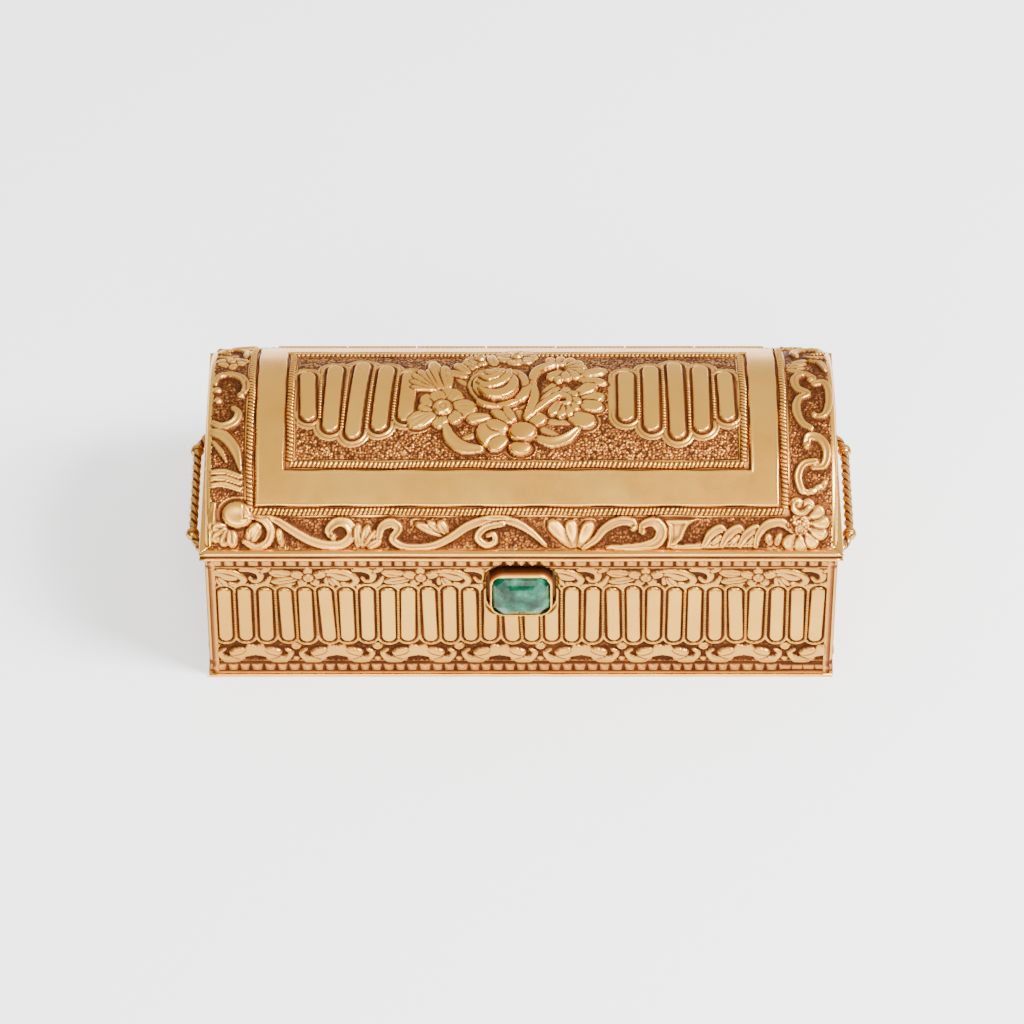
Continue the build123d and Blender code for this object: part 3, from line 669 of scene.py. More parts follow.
def long_border(relief, edge):
    """Scrolls along the lid's long edge, 1 at the front and -1 at the back; t is measured from the edge."""

    def put(x, t):
        return (x, edge * (BORDER_HALF - t))

    def stroke(points, widths, height=0.46, hollow=0.5, **more):
        relief.stroke([put(*point) for point in points], widths, height, 0.04, hollow=hollow, **more)

    def leaf(root, tip, width, height=0.42, **more):
        relief.leaf(put(*root), put(*tip), width, height, 0.06, **more)

    # long S-scroll with a volute at its lower end
    stroke([(-31.6, 3.8), (-29.4, 3.6), (-27.4, 2.4), (-25.3, 1.2), (-23.2, 0.6), (-21.3, 0.7),
            (-20.2, 1.8), (-20.6, 3.0), (-21.8, 3.3), (-22.9, 2.4), (-22.6, 1.5)],
           (0.3, 0.5, 0.6, 0.62, 0.66, 0.62, 0.35))
    relief.oval(*put(-22.4, 1.5), 0.9, 0.9, 0, 0.5)
    # leaves behind it
    for root, tip, width in (((-19.4, 0.2), (-19.5, 3.2), 1.2), ((-18.9, 0.2), (-18.2, 3.0), 1.3),
                             ((-18.5, 0.2), (-17.0, 2.4), 1.3), ((-18.4, 0.2), (-16.6, 1.2), 1.1)):
        leaf(root, tip, width, crease=0.1)
    # second scroll, with a small volute under it
    stroke([(-16.9, 1.5), (-16.6, 2.7), (-15.5, 3.2), (-14.6, 2.5), (-15.3, 1.3),
            (-14.3, 0.5), (-12.3, 0.3), (-10.2, 0.6), (-8.2, 1.6), (-6.4, 2.8),
            (-4.3, 3.5), (-2.2, 3.6), (-0.4, 3.1), (1.3, 2.0), (2.9, 0.5)],
           (0.4, 0.66, 0.5, 0.42, 0.5, 0.56, 0.58, 0.5, 0.22))
    stroke([(-2.2, 3.1), (-4.3, 2.6), (-5.2, 1.5), (-4.3, 0.6), (-3.2, 0.9), (-3.3, 1.8), (-4.0, 1.7)],
           (0.4, 0.46, 0.42, 0.36, 0.25), hollow=0.4)
    for root, tip, width in (((-9.2, 1.6), (-12.7, 3.2), 1.1), ((-9.0, 1.8), (-11.3, 3.5), 0.9),
                             ((-8.8, 1.8), (-9.9, 3.5), 1.3)):
        leaf(root, tip, width, crease=0.12)
    # palmette of three bean-shaped petals
    beans = (((6.3, 0.2), (3.2, 3.5), 1.7), ((6.5, 0.2), (5.7, 3.6), 1.6), ((6.9, 0.2), (8.3, 3.4), 1.7))
    for root, tip, width in beans:
        leaf(root, tip, width, 0.46, cup=0.5, wide=0.72)
    # facing pair of scrolls
    stroke([(7.4, 0.2), (8.8, 1.2), (10.0, 2.6), (11.7, 3.4), (13.1, 3.3), (13.5, 2.6)],
           (0.3, 0.5, 0.62, 0.6, 0.4))
    relief.oval(*put(13.3, 2.5), 0.9, 0.8, 0, 0.5)
    stroke([(14.3, 2.2), (14.5, 3.0), (15.8, 3.3), (16.7, 2.3), (16.2, 1.0), (14.6, 0.4),
            (12.2, 0.25), (10.2, 0.3)],
           (0.35, 0.5, 0.72, 0.8, 0.66, 0.45, 0.22))
    relief.oval(*put(14.5, 2.1), 0.8, 0.8, 0, 0.5)
    # banner-like leaf
    corners = ((17.0, 3.6), (20.9, 3.6), (19.9, 2.9), (19.5, 2.2), (19.2, 1.3),
               (18.0, 0.2), (17.2, 0.2), (17.5, 1.6), (17.4, 2.8))
    relief.patch([put(*corner) for corner in corners], 0.4, 0.04, hollow=0.45)
    # three curled lobes on a running stem
    stroke([(17.9, 0.3), (20.5, 0.4), (23.5, 0.6), (27.4, 0.6)], (0.2, 0.36, 0.4, 0.3), 0.36, hollow=0.3)
    for n in range(3):
        x = 21.9 + 2.15 * n
        stroke([(x - 0.2, 0.5), (x + 0.6, 1.8), (x + 1.7, 2.5), (x + 2.5, 1.9)], (0.35, 0.62, 0.6, 0.2), 0.46)
        leaf((x + 0.6, 0.5), (x + 2.0, 1.7), 0.8, 0.36, crease=0.08)
    # last scroll, that runs to the corner flower
    stroke([(27.9, 0.4), (28.2, 1.8), (29.3, 3.0), (31.0, 3.2), (32.2, 2.2)], (0.3, 0.45, 0.6, 0.55, 0.3))
    for root, tip in (((29.7, 0.4), (29.2, 1.9)), ((30.3, 0.4), (30.8, 2.0))):
        leaf(root, tip, 0.9, 0.34, crease=0.1)


def end_border(relief, side):
    """Scrolls up the lid's short edge, 1 at the right and -1 at the left; w is measured from the end."""
    edge = LID_HALF_LENGTH - 0.35

    def at(points):
        return [(side * (edge - w), arc) for w, arc in points]

    def stroke(points, widths, height=0.46):
        relief.stroke(at(points), widths, height, 0.04, hollow=0.45)

    def oval(w, arc, length, width, turn, height, **more):
        relief.oval(side * (edge - w), arc, length, width, turn if side < 0 else 180 - turn, height, **more)

    if side < 0:
        # small flower at the top, then a broken ring, a hook and a long feather
        for arc in (-7.4, -15.0):
            for turn in (0, 60, 120, 180, 240, 300):
                a = math.radians(turn + 20)
                w, v = 2.3 + 1.15 * math.cos(a), arc + 1.15 * math.sin(a)
                oval(w, v, 1.7, 1.2, 180 - turn - 20, 0.3, crease=0.05)
            oval(2.3, arc, 1.1, 1.1, 0, 0.4, floor=0.1)
            oval(3.9, arc - 0.6, 1.6, 0.8, 30, 0.26)
        stroke([(3.9, -0.2), (4.3, -1.6), (3.7, -3.2), (2.4, -4.0), (1.0, -3.6), (0.5, -2.0)],
               (0.35, 0.55, 0.6, 0.55, 0.45, 0.3))
        oval(3.7, 0.0, 1.0, 1.0, 0, 0.42)
        oval(0.8, -0.9, 1.2, 1.0, 0, 0.4)
        oval(1.0, 0.9, 1.0, 1.0, 0, 0.36)
        stroke([(0.4, 4.4), (1.6, 4.9), (3.0, 4.3), (3.5, 3.0), (2.9, 2.2)], (0.4, 0.5, 0.55, 0.5, 0.4))
        stroke([(0.3, 5.6), (1.8, 6.2), (3.2, 8.0), (3.9, 10.6)], (0.5, 0.75, 0.7, 0.2), 0.36)
        stroke([(0.6, 7.0), (1.5, 8.2), (2.2, 9.6)], (0.25, 0.35, 0.15), 0.24)
        for arc in (10.9, 11.7, 12.5):
            stroke([(0.3, arc), (2.0, arc - 0.1), (3.9, arc + 0.5)], (0.3, 0.38, 0.3), 0.28)
    else:
        # frond at the top, two facing C-scrolls with knobs, and an S-scroll below
        for n, arc in enumerate((-7.6, -6.7, -5.8, -5.0)):
            oval(3.6 + 0.25 * n, arc, 2.3, 0.9, 25 - 14 * n, 0.28, crease=0.06)
        stroke([(0.6, -5.2), (1.2, -7.0), (2.4, -7.6)], (0.35, 0.5, 0.3))
        stroke([(2.2, -3.3), (3.4, -4.1), (4.4, -3.0), (4.2, -1.2), (3.0, -0.2),
                (4.0, 0.6), (4.4, 2.2), (3.9, 4.2), (2.7, 5.2)],
               (0.45, 0.55, 0.6, 0.5, 0.5, 0.5, 0.6, 0.5, 0.35))
        oval(2.5, -2.9, 1.0, 1.0, 0, 0.44)
        stroke([(2.1, -2.1), (0.9, -2.2), (0.4, -0.6), (0.5, 1.6), (1.1, 3.2), (2.2, 3.4)],
               (0.45, 0.5, 0.5, 0.5, 0.45, 0.3))
        oval(2.3, 3.2, 0.9, 0.9, 0, 0.42)
        stroke([(3.4, 7.4), (3.0, 6.3), (1.7, 6.6), (0.9, 8.2), (1.3, 10.0), (2.6, 10.3)],
               (0.45, 0.55, 0.6, 0.6, 0.5, 0.35))
        oval(3.3, 7.5, 1.0, 1.0, 0, 0.44)
        stroke([(2.2, 9.5), (3.7, 9.9), (4.4, 11.4), (4.0, 13.0), (3.2, 13.4)], (0.4, 0.5, 0.5, 0.45, 0.3))
        for n in range(3):
            oval(1.4 + 0.7 * n, 12.4 + 0.4 * n, 1.5, 0.8, 60 - 25 * n, 0.28, crease=0.06)
    # the unseen rear half follows the same scrolls in turn
    stroke([(3.9, -9.4), (4.2, -11.0), (3.0, -12.6), (1.4, -12.2), (0.9, -10.8), (1.9, -10.2)],
           (0.35, 0.55, 0.6, 0.5, 0.4, 0.25))
    stroke([(0.6, -9.2), (1.9, -9.0), (3.0, -9.4)], (0.3, 0.4, 0.2), 0.28)


def corner_motifs(relief):
    """Half flowers at the right corners and rolled leaves at the left ones."""
    for edge in (1, -1):

        def put(x, t):
            return (x, edge * (BORDER_HALF - t))

        # flower: a struck middle with petals on its outer side
        for turn in range(-118, 100, 31):
            a = math.radians(turn)
            root = put(33.1 + 1.3 * math.cos(a), 3.0 + 1.3 * math.sin(a))
            tip = put(33.1 + 3.6 * math.cos(a), 3.0 + 3.3 * math.sin(a))
            relief.leaf(root, tip, 1.75, 0.5, 0.05, cup=0.3, wide=0.62)
        at = relief.near(31.4, 34.8, -LID_HALF_ARC, LID_HALF_ARC)
        r = np.hypot(relief.u[at] - 33.1, relief.v[at] - put(0, 3.0)[1])
        relief.height[at] += 0.3 * smooth(1.55, 1.2, r)
        relief.grain[at] = np.where(r < 1.35, 1.0, relief.grain[at])
        relief.spiral(*put(33.0, 5.3), 1.2, 20, 0.8, 0.42, 0.44, 0.05, hand=edge)
        # rolled leaf, its curl and the ribbed leaf inside the curl
        roll = [put(-36.6, 5.4), put(-36.9, 3.4), put(-36.4, 1.4)]
        relief.stroke(roll, (0.3, 0.6, 0.3), 0.4, 0.04, hollow=0.4)
        for tip in ((-36.9, 2.6), (-36.9, 1.0), (-35.6, 0.3), (-34.3, 0.2)):
            relief.leaf(put(-34.6, 2.5), put(*tip), 1.5, 0.44, 0.06, crease=0.12, cup=0.2)
        relief.leaf(put(-32.4, 0.6), put(-31.4, 3.3), 2.0, 0.4, 0.08, crease=0.1, ribs=4)
        curl = ((-33.0, 1.0), (-31.6, 0.3), (-30.2, 0.9), (-29.8, 2.3), (-30.6, 3.5), (-31.8, 3.9))
        relief.stroke([put(*point) for point in curl], (0.3, 0.5, 0.55, 0.5, 0.35), 0.46, 0.06, hollow=0.4)
        relief.leaf(put(-28.4, 0.3), put(-29.0, 2.6), 0.9, 0.36, 0.05, crease=0.1)
        relief.leaf(put(-35.6, 4.4), put(-31.9, 3.9), 3.2, 0.6, 0.2, cup=0.4, groove=0.18, wide=0.5)


def lid_relief():
    """The whole lid sheet with its chasing."""
    x = LID_HALF_LENGTH
    relief = Relief(-x, x, -LID_HALF_ARC, LID_HALF_ARC, LID_PITCH)
    relief.height += 0.02
    long_border(relief, 1)
    long_border(relief, -1)
    end_border(relief, -1)
    end_border(relief, 1)
    corner_motifs(relief)
    lid_bands(relief)
    beads = flute_fan(relief, -1) + flute_fan(relief, 1)
    flower_spray(relief)
    inside = beyond_frame(relief, INNER_ROPE_X, INNER_ROPE_ARC) < 0
    outside = beyond_frame(relief, OUTER_ROPE_X, OUTER_ROPE_ARC) > 0
    relief.stain_and_shade += 0.15 * outside + 0.05 * inside * (relief.height < 0.33)
    relief.pebble(0.035, 0.10)
    # a plain line along the edges, and rounded ends
    past = np.maximum(np.abs(relief.v) - LID_HALF_ARC + 0.35, np.abs(relief.u) - x + 0.25)
    relief.height = np.where(past > 0, np.minimum(relief.height, 0.16) + 0.12, relief.height)
    relief.grain[past > 0] = 0
    roll = 1.3
    over = np.clip((np.abs(relief.u) - (x - roll)) / roll, 0, 1)
    relief.height -= roll * (1 - np.sqrt(1 - (0.985 * over) ** 2)) * 0.85
    return relief, beads


# Chased work on the walls: across the wall and up it

PYRAMID_PITCH = 1.45
FOOT_PYRAMIDS = (0.75, 1.95)
FOOT_TOP = 2.55
RIM_FOOT = 18.3
RIM_PYRAMIDS = (18.45, 19.6)
UPPER_FRIEZE_MIDDLE = 16.65
LOWER_FRIEZE_MIDDLE = 4.3
FRONT_FLUTES = 30
END_FLUTES = 13
MENDED_FOOT = (31.6, 37.2)
FLUTE_LOW = 5.95
FLUTE_HIGH = 15.05
FLUTE_PITCH = 2.455
FLUTE_WIDTH = 1.74


def pyramid_row(relief, low, high, height, plain=None):
    """A row of small four-sided pyramids."""
    inside = (relief.v > low - 0.08) & (relief.v < high + 0.08)
    swing = 0.14 * np.sin(relief.u * 0.31) + 0.07 * np.sin(relief.u * 1.3)
    cell = (relief.u + swing) / PYRAMID_PITCH
    du = np.abs(cell - np.round(cell)) * 2.1
    dv = np.abs(relief.v - (low + high) / 2) / ((high - low) / 2)
    rise = height * np.clip(1 - np.maximum(du, dv), 0, 0.93)
    if plain:
        bare = (relief.u > plain[0]) & (relief.u < plain[1])
        rise = np.where(bare, 0.2 * (dv < 0.6) + 0.01 * np.sin(relief.u * 9), rise)
    relief.height = np.where(inside, rise, relief.height)
    relief.grain[inside] = 0
    # Painted shade on the pyramids: darker towards the sides that face their neighbours, more so low in the
    # row, over patina in the gaps between them and along the row's edges.
    up_the_row = (relief.v - low) / (high - low)
    gap = 0.15 + 0.7 * smooth(0.72 + 0.25 * up_the_row, 0.9 + 0.2 * up_the_row, du) + 0.4 * smooth(0.8, 1.0, dv)
    relief.stain_and_shade = np.where(inside, gap, relief.stain_and_shade)


def wall_bands(relief, plain=None):
    """Plain mouldings and pyramid rows at the foot and the rim."""
    z = relief.v
    relief.height += 0.03
    band = (z < FOOT_TOP) | (z > RIM_FOOT)
    relief.height = np.where(band, 0.0, relief.height)
    relief.grain[band] = 0
    pyramid_row(relief, *FOOT_PYRAMIDS, 0.56, plain)
    pyramid_row(relief, *RIM_PYRAMIDS, 0.5)
    relief.height += 0.32 * smooth(19.6, 19.75, z) + 0.24 * hump(z, 2.62, 0.13)
    relief.height += 0.22 * hump(z, 18.28, 0.1) + 0.3 * smooth(0.7, 0.6, z)
    worked = np.maximum(smooth(6.2, 5.2, z), smooth(15.2, 15.9, z))
    relief.stain_and_shade += 0.75 * hump(z, 2.3, 0.25) + 0.17 * worked * ~band
    # Darker towards the foot: painted shade. Also a little darker just under the rim moulding.
    relief.stain_and_shade += 0.42 * smooth(3.2, 0.2, z) + 0.15 * smooth(17.9, 18.3, z)


def flute_row(relief, count):
    """Upright flutes with a raised line round their ends. Returns the bead lines between them."""
    nearest = np.full_like(relief.u, 9.0)
    beyond = np.full_like(relief.u, -9.0)
    first = -(count - 1) / 2 * FLUTE_PITCH
    middles = []
    for n in range(count):
        shift = rng.normal(0, 0.05)
        lean = rng.normal(-0.3, 1.1)
        u = first + n * FLUTE_PITCH + shift
        middle = (FLUTE_LOW + FLUTE_HIGH) / 2 + rng.normal(0, 0.06)
        length = FLUTE_HIGH - FLUTE_LOW + rng.normal(0, 0.12)
        width = FLUTE_WIDTH * (1 + rng.normal(0, 0.035))
        edge, past = relief.capsule(u, middle, length, width, lean)
        beyond = np.where(edge < nearest, past, beyond)
        nearest = np.minimum(nearest, edge)
        middles.append((u, lean))
    relief.height = np.where(nearest < 0.75, relief.height * smooth(0.45, 0.75, nearest), relief.height)
    relief.height += 0.38 * smooth(0.06, -0.2, nearest) + 0.05 * smooth(-0.2, -0.8, nearest)
    near_end = smooth(-0.75, 0.15, beyond)
    relief.height += (0.34 * hump(nearest, 0.42, 0.16) - 0.06 * hump(nearest, 0.78, 0.1)) * near_end
    relief.stain_and_shade += 0.42 * hump(nearest, 0.12, 0.14)
    relief.grain[nearest < 0.85] = 0
    beads = []
    low, high = FLUTE_LOW + 0.45, FLUTE_HIGH - 0.45
    middle = (low + high) / 2
    for (u0, a0), (u1, a1) in zip(middles, middles[1:]):
        lean = math.sin(math.radians((a0 + a1) / 2))
        u = (u0 + u1) / 2
        beads.append(((u + lean * (low - middle), low), (u + lean * (high - middle), high)))
    outer = FLUTE_PITCH / 2
    for u, step in ((middles[0][0], -outer), (middles[-1][0], outer)):
        beads.append(((u + step, low), (u + step, high)))
    return beads


def small_flower(relief, u, v):
    """Flower of the upper frieze: five petals round a ringed boss."""
    for turn, reach in ((92, 1.9), (20, 2.3), (-50, 1.9), (-128, 1.9), (160, 2.3)):
        a = math.radians(turn)
        tip = (u + reach * math.cos(a), v + 0.85 * reach * math.sin(a))
        relief.leaf((u, v), tip, 1.15, 0.34, 0.05, crease=0.08)
    relief.oval(u, v, 1.5, 1.4, 0, 0.3, 0.1, groove=0.1)
    relief.ring(u, v, 0.55, 0.3, 0.16, 0.22)


def upper_frieze(relief, half, period=13.45, start=1.45):
    """Flowers and curled leaves in turn."""
    middle = UPPER_FRIEZE_MIDDLE
    count = int(half / period) + 2
    for n in range(-count, count + 1):
        u = start + n * period

        def stroke(points, widths, hollow=0.0):
            relief.stroke([(u + a, middle + b) for a, b in points], widths, 0.34, 0.04, hollow=hollow)

        def leaf(root, tip, width, height=0.34, **more):
            start_at, end_at = (u + root[0], middle + root[1]), (u + tip[0], middle + tip[1])
            relief.leaf(start_at, end_at, width, height, 0.05, **more)

        # leaf to the right of the flower, curled back over itself
        leaf((1.0, 0.7), (5.6, 0.1), 1.7, 0.38, ribs=3, wide=0.62)
        stroke([(1.3, 0.9), (3.0, 1.2), (4.8, 0.7), (5.7, -0.4), (4.9, -1.3), (4.0, -0.9)],
               (0.2, 0.35, 0.45, 0.45, 0.25))
        for tip in ((2.2, -1.3), (3.1, -1.5), (3.8, -1.4)):
            leaf((2.2 + 0.25 * (tip[0] - 2.2), 0.2), tip, 0.7, 0.3)
        # curls in the middle of the bay
        stroke([(5.4, 1.3), (6.5, 1.4), (7.5, 0.9), (7.7, -0.1), (7.0, -0.6), (6.4, 0.0)],
               (0.25, 0.42, 0.45, 0.3, 0.2), hollow=0.3)
        stroke([(5.9, -1.4), (7.1, -1.5), (8.3, -1.0), (8.9, 0.1)], (0.25, 0.42, 0.45, 0.2), hollow=0.3)
        leaf((7.6, 0.9), (9.0, 1.5), 0.8, 0.3)
        # two leaves that come in to the next flower from the left
        leaf((12.4, 0.1), (8.7, 0.9), 1.35, 0.38, crease=0.12, wide=0.55)
        leaf((12.4, -0.1), (8.9, -0.7), 1.3, 0.38, crease=0.12, wide=0.55)
        leaf((11.9, -1.0), (9.5, -1.6), 0.75, 0.3)
        small_flower(relief, u, middle)


def lower_frieze(relief, half, period=9.85, start=2.35):
    """Waves with a ring between them."""
    middle = LOWER_FRIEZE_MIDDLE
    count = int(half / period) + 2
    for n in range(-count, count + 1):
        u = start + n * period
        bay = u + period / 2

        # waves that curl up beside the rings, and the crest between them
        for side in (-1, 1):
            wave = ((1.6, -1.1), (2.8, -1.45), (3.9, -1.15), (4.3, -0.3), (3.75, 0.2))
            points = [(bay + side * a, middle + b) for a, b in wave]
            relief.stroke(points, (0.42, 0.5, 0.38, 0.2), 0.34, 0.04)
        crest = [(0.0, 0.85), (0.95, 1.15), (1.3, 0.35), (2.5, 0.0),
                 (3.1, -0.8), (2.0, -1.35), (0.9, -0.9), (0.0, -0.7)]
        mirrored = [(-a, b) for a, b in reversed(crest[1:-1])]
        relief.patch([(bay + a, middle + b) for a, b in crest + mirrored], 0.32, 0.06, edge=0.3)
        for side in (-1, 1):
            root = (bay + side * 1.15, middle + 0.2)
            relief.leaf(root, (bay + side * 3.2, middle - 0.35), 1.0, 0.3, 0.24, wide=0.6)
        relief.oval(u, middle + 0.8, 1.4, 1.2, 0, 0.34, 0.06)
        relief.ring(u, middle + 0.8, 0.5, 0.26, 0.14, 0.2)
        relief.oval(u, middle - 1.3, 0.9, 0.5, 0, 0.26, 0.03)


def wall_relief(half, flutes, plain=None):
    """One wall: mouldings, friezes and flutes."""
    relief = Relief(-half, half, WALL_FOOT, WALL_TOP, WALL_PITCH)
    upper_frieze(relief, half)
    lower_frieze(relief, half)
    wall_bands(relief, plain)
    beads = flute_row(relief, flutes)
    # notched line up each corner, rubbed round outside it
    edge = half - np.abs(relief.u)
    strip = (edge < 1.0) & (relief.v > 2.75) & (relief.v < 18.2)
    notches = (0.5 + 0.5 * np.cos(relief.v * 9.0)) * (edge > 0.45)
    relief.height = np.where(strip, 0.30 - 0.12 * notches, relief.height)
    relief.grain[strip] = 0
    relief.stain_and_shade = np.where(strip, 0.12 + 0.25 * notches + 0.5 * (edge > 0.85), relief.stain_and_shade)
    past = np.clip((np.abs(relief.u) - half + 0.4) / 0.4, 0, 1)
    relief.height = relief.height * (1 - 0.6 * past) - 0.15 * past**2
    relief.pebble(0.02, 0.10)
    return relief, beads


# Materials

def node_tree(name):
    material = bpy.data.materials.new(name)
    material.use_nodes = True
    tree = material.node_tree
    tree.nodes.clear()
    shader = tree.nodes.new("ShaderNodeBsdfPrincipled")
    output = tree.nodes.new("ShaderNodeOutputMaterial")
    tree.links.new(shader.outputs["BSDF"], output.inputs["Surface"])
    coords = tree.nodes.new("ShaderNodeTexCoord")
    return material, tree, shader, coords


def noise(tree, coords, scale, detail=3.0):
    texture = tree.nodes.new("ShaderNodeTexNoise")
    texture.inputs["Scale"].default_value = scale
    texture.inputs["Detail"].default_value = detail
    tree.links.new(coords.outputs["Object"], texture.inputs["Vector"])
    return texture.outputs["Fac"]


def attribute(tree, name):
    node = tree.nodes.new("ShaderNodeAttribute")
    node.attribute_name = name
    return node.outputs["Fac"]


def bump(tree, height, strength, distance, before=None):
    """Bump from a height, over the normal of an earlier bump; the distance is in millimetres."""
    node = tree.nodes.new("ShaderNodeBump")
    node.inputs["Strength"].default_value = strength
    node.inputs["Distance"].default_value = distance * MM
    tree.links.new(height, node.inputs["Height"])
    if before:
        tree.links.new(before.outputs["Normal"], node.inputs["Normal"])
    return node


def ramp(tree, value, stops):
    """Colour ramp over a value; stops are (place, colour)."""
    node = tree.nodes.new("ShaderNodeValToRGB")
    elements = node.color_ramp.elements
    while len(elements) < len(stops):
        elements.new(0.5)
    for element, (place, colour) in zip(elements, stops):
        element.position = place
        element.color = (*colour, 1)
    tree.links.new(value, node.inputs["Fac"])
    return node.outputs["Color"]


def calc(tree, kind, a, b, clamp=False):
    node = tree.nodes.new("ShaderNodeMath")
    node.operation = kind
    node.use_clamp = clamp
    for socket, value in zip(node.inputs, (a, b)):
        if isinstance(value, (int, float)):
            socket.default_value = value
        else:
            tree.links.new(value, socket)
    return node.outputs["Value"]


BRIGHT_GOLD = (0.94, 0.50, 0.085)
WARM_GOLD = (0.84, 0.40, 0.055)
# colours of the patina in the hollows, also used for painted shade
PATINA_AND_SHADE = ((0.3, (0.52, 0.215, 0.05)), (0.6, (0.24, 0.075, 0.018)), (1.0, (0.085, 0.027, 0.010)))
PUNCH_SCALE = 3000
PUNCH_DEPTH = 0.11
WEAR_DEPTH = 0.02


def gold(name, bright=BRIGHT_GOLD, warm=WARM_GOLD, rough=0.27, grain=False):
    """Worn gold with red-brown colour left in its hollows, painted shade where a mesh carries it, and, where
    it has a grain, a punched ground.
    """
    material, tree, shader, coords = node_tree(name)
    link = tree.links.new
    tint = ramp(tree, noise(tree, coords, 90), [(0.35, warm), (0.65, bright)])
    depth = attribute(tree, "patina_and_shade")
    if grain:
        cells = tree.nodes.new("ShaderNodeTexVoronoi")
        cells.inputs["Scale"].default_value = PUNCH_SCALE
        cells.inputs["Randomness"].default_value = 0.85
        link(coords.outputs["Object"], cells.inputs["Vector"])
        pit = calc(tree, "MULTIPLY", cells.outputs["Distance"], attribute(tree, "grain"))
        deep = calc(tree, "MULTIPLY", calc(tree, "SUBTRACT", pit, 0.36), 1.6, True)
        depth = calc(tree, "ADD", depth, deep, True)
    mottled = calc(tree, "MULTIPLY", calc(tree, "SUBTRACT", noise(tree, coords, 260), 0.5), 0.5)
    depth = calc(tree, "ADD", depth, calc(tree, "MULTIPLY", mottled, depth), True)
    mix = tree.nodes.new("ShaderNodeMix")
    mix.data_type = "RGBA"
    link(calc(tree, "MULTIPLY", depth, 2.0, True), mix.inputs["Factor"])
    link(tint, mix.inputs[6])
    link(ramp(tree, depth, [(0.0, bright), *PATINA_AND_SHADE]), mix.inputs[7])
    link(mix.outputs[2], shader.inputs["Base Color"])
    shader.inputs["Metallic"].default_value = 1.0
    polish = calc(tree, "ADD", calc(tree, "MULTIPLY", noise(tree, coords, 420), 0.12), rough - 0.06)
    link(calc(tree, "ADD", polish, calc(tree, "MULTIPLY", depth, 0.4)), shader.inputs["Roughness"])
    last = bump(tree, noise(tree, coords, 1500, 2), 0.25, WEAR_DEPTH)
    if grain:
        last = bump(tree, pit, 1.0, PUNCH_DEPTH, last)
        last.invert = True
    link(last.outputs["Normal"], shader.inputs["Normal"])
    return material


def steel(name):
    material, tree, shader, coords = node_tree(name)
    tint = ramp(tree, noise(tree, coords, 300), [(0.3, (0.22, 0.24, 0.30)), (0.7, (0.34, 0.36, 0.42))])
    tree.links.new(tint, shader.inputs["Base Color"])
    shader.inputs["Metallic"].default_value = 1.0
    shader.inputs["Roughness"].default_value = 0.35
    return material


def emerald_material(name):
    """Milky green stone with paler clouds and darker veils."""
    material, tree, shader, coords = node_tree(name)
    clouds = noise(tree, coords, 700, 6.0)
    colour = ramp(tree, clouds, [(0.34, (0.0, 0.018, 0.007)), (0.47, (0.001, 0.06, 0.026)),
                                 (0.58, (0.008, 0.115, 0.058)), (0.70, (0.05, 0.18, 0.12))])
    tree.links.new(colour, shader.inputs["Base Color"])
    shader.inputs["Roughness"].default_value = 0.14
    shader.inputs["IOR"].default_value = 1.5
    shader.inputs["Specular IOR Level"].default_value = 0.32
    shader.inputs["Subsurface Weight"].default_value = 0.06
    shader.inputs["Subsurface Radius"].default_value = (0.0004, 0.0010, 0.0006)
    shader.inputs["Subsurface Scale"].default_value = 1.0
    return material


def plain(name, colour, rough):
    material, tree, shader, coords = node_tree(name)
    soft = tuple(c * 0.985 for c in colour)
    tint = ramp(tree, noise(tree, coords, 3), [(0.3, soft), (0.7, colour)])
    tree.links.new(tint, shader.inputs["Base Color"])
    shader.inputs["Roughness"].default_value = rough
    return material


CHASED = gold("chased_gold", grain=True)
# The walls' gold is a darker copy of the chased gold: painted shade, offsetting the bright floor the walls
# mirror.
WALL_GOLD_SHADED = gold("wall_gold_shaded", bright=(0.68, 0.365, 0.062), warm=(0.55, 0.27, 0.042), grain=True)
HANDLES = gold("handle_gold", bright=(0.66, 0.385, 0.10), warm=(0.54, 0.28, 0.06), rough=0.24)
POLISHED = gold("polished_gold", rough=0.22)
PLAIN = gold("plain_gold", rough=0.36)
# Near-black copy of the gold for the button plate: painted shade, where it shows in the dark gap round the
# button.
SHADE_GOLD = gold("painted_shade_gold", bright=(0.20, 0.09, 0.03), warm=(0.12, 0.05, 0.02), rough=0.5)
STEEL = steel("spring_steel")
STONE = emerald_material("emerald")


def finish_piece(obj, material, body, replaced=()):
    """Gives a piece its material and body, and hides the CAD nodes it replaces."""
    obj.data.materials.clear()
    obj.data.materials.append(material)
    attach(obj, body)
    for node in replaced:
        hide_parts(node)


# The box's walls and base

def wall_set(side, wall, surface, beads, flip):
    """Finishes one wall and the bead lines on it."""
    nodes = (f"{side}_wall", f"foot_moulding_{side}", f"rim_moulding_{side}")
    finish_piece(wall, WALL_GOLD_SHADED, "case", nodes)
    strips = [ridged_strip(surface, b, 0.23, 0.34, 0.4, 0.0, 0.02) for b in beads]
    finish_piece(join_parts(f"{side}_wall_beads", strips, flip), WALL_GOLD_SHADED, "case")


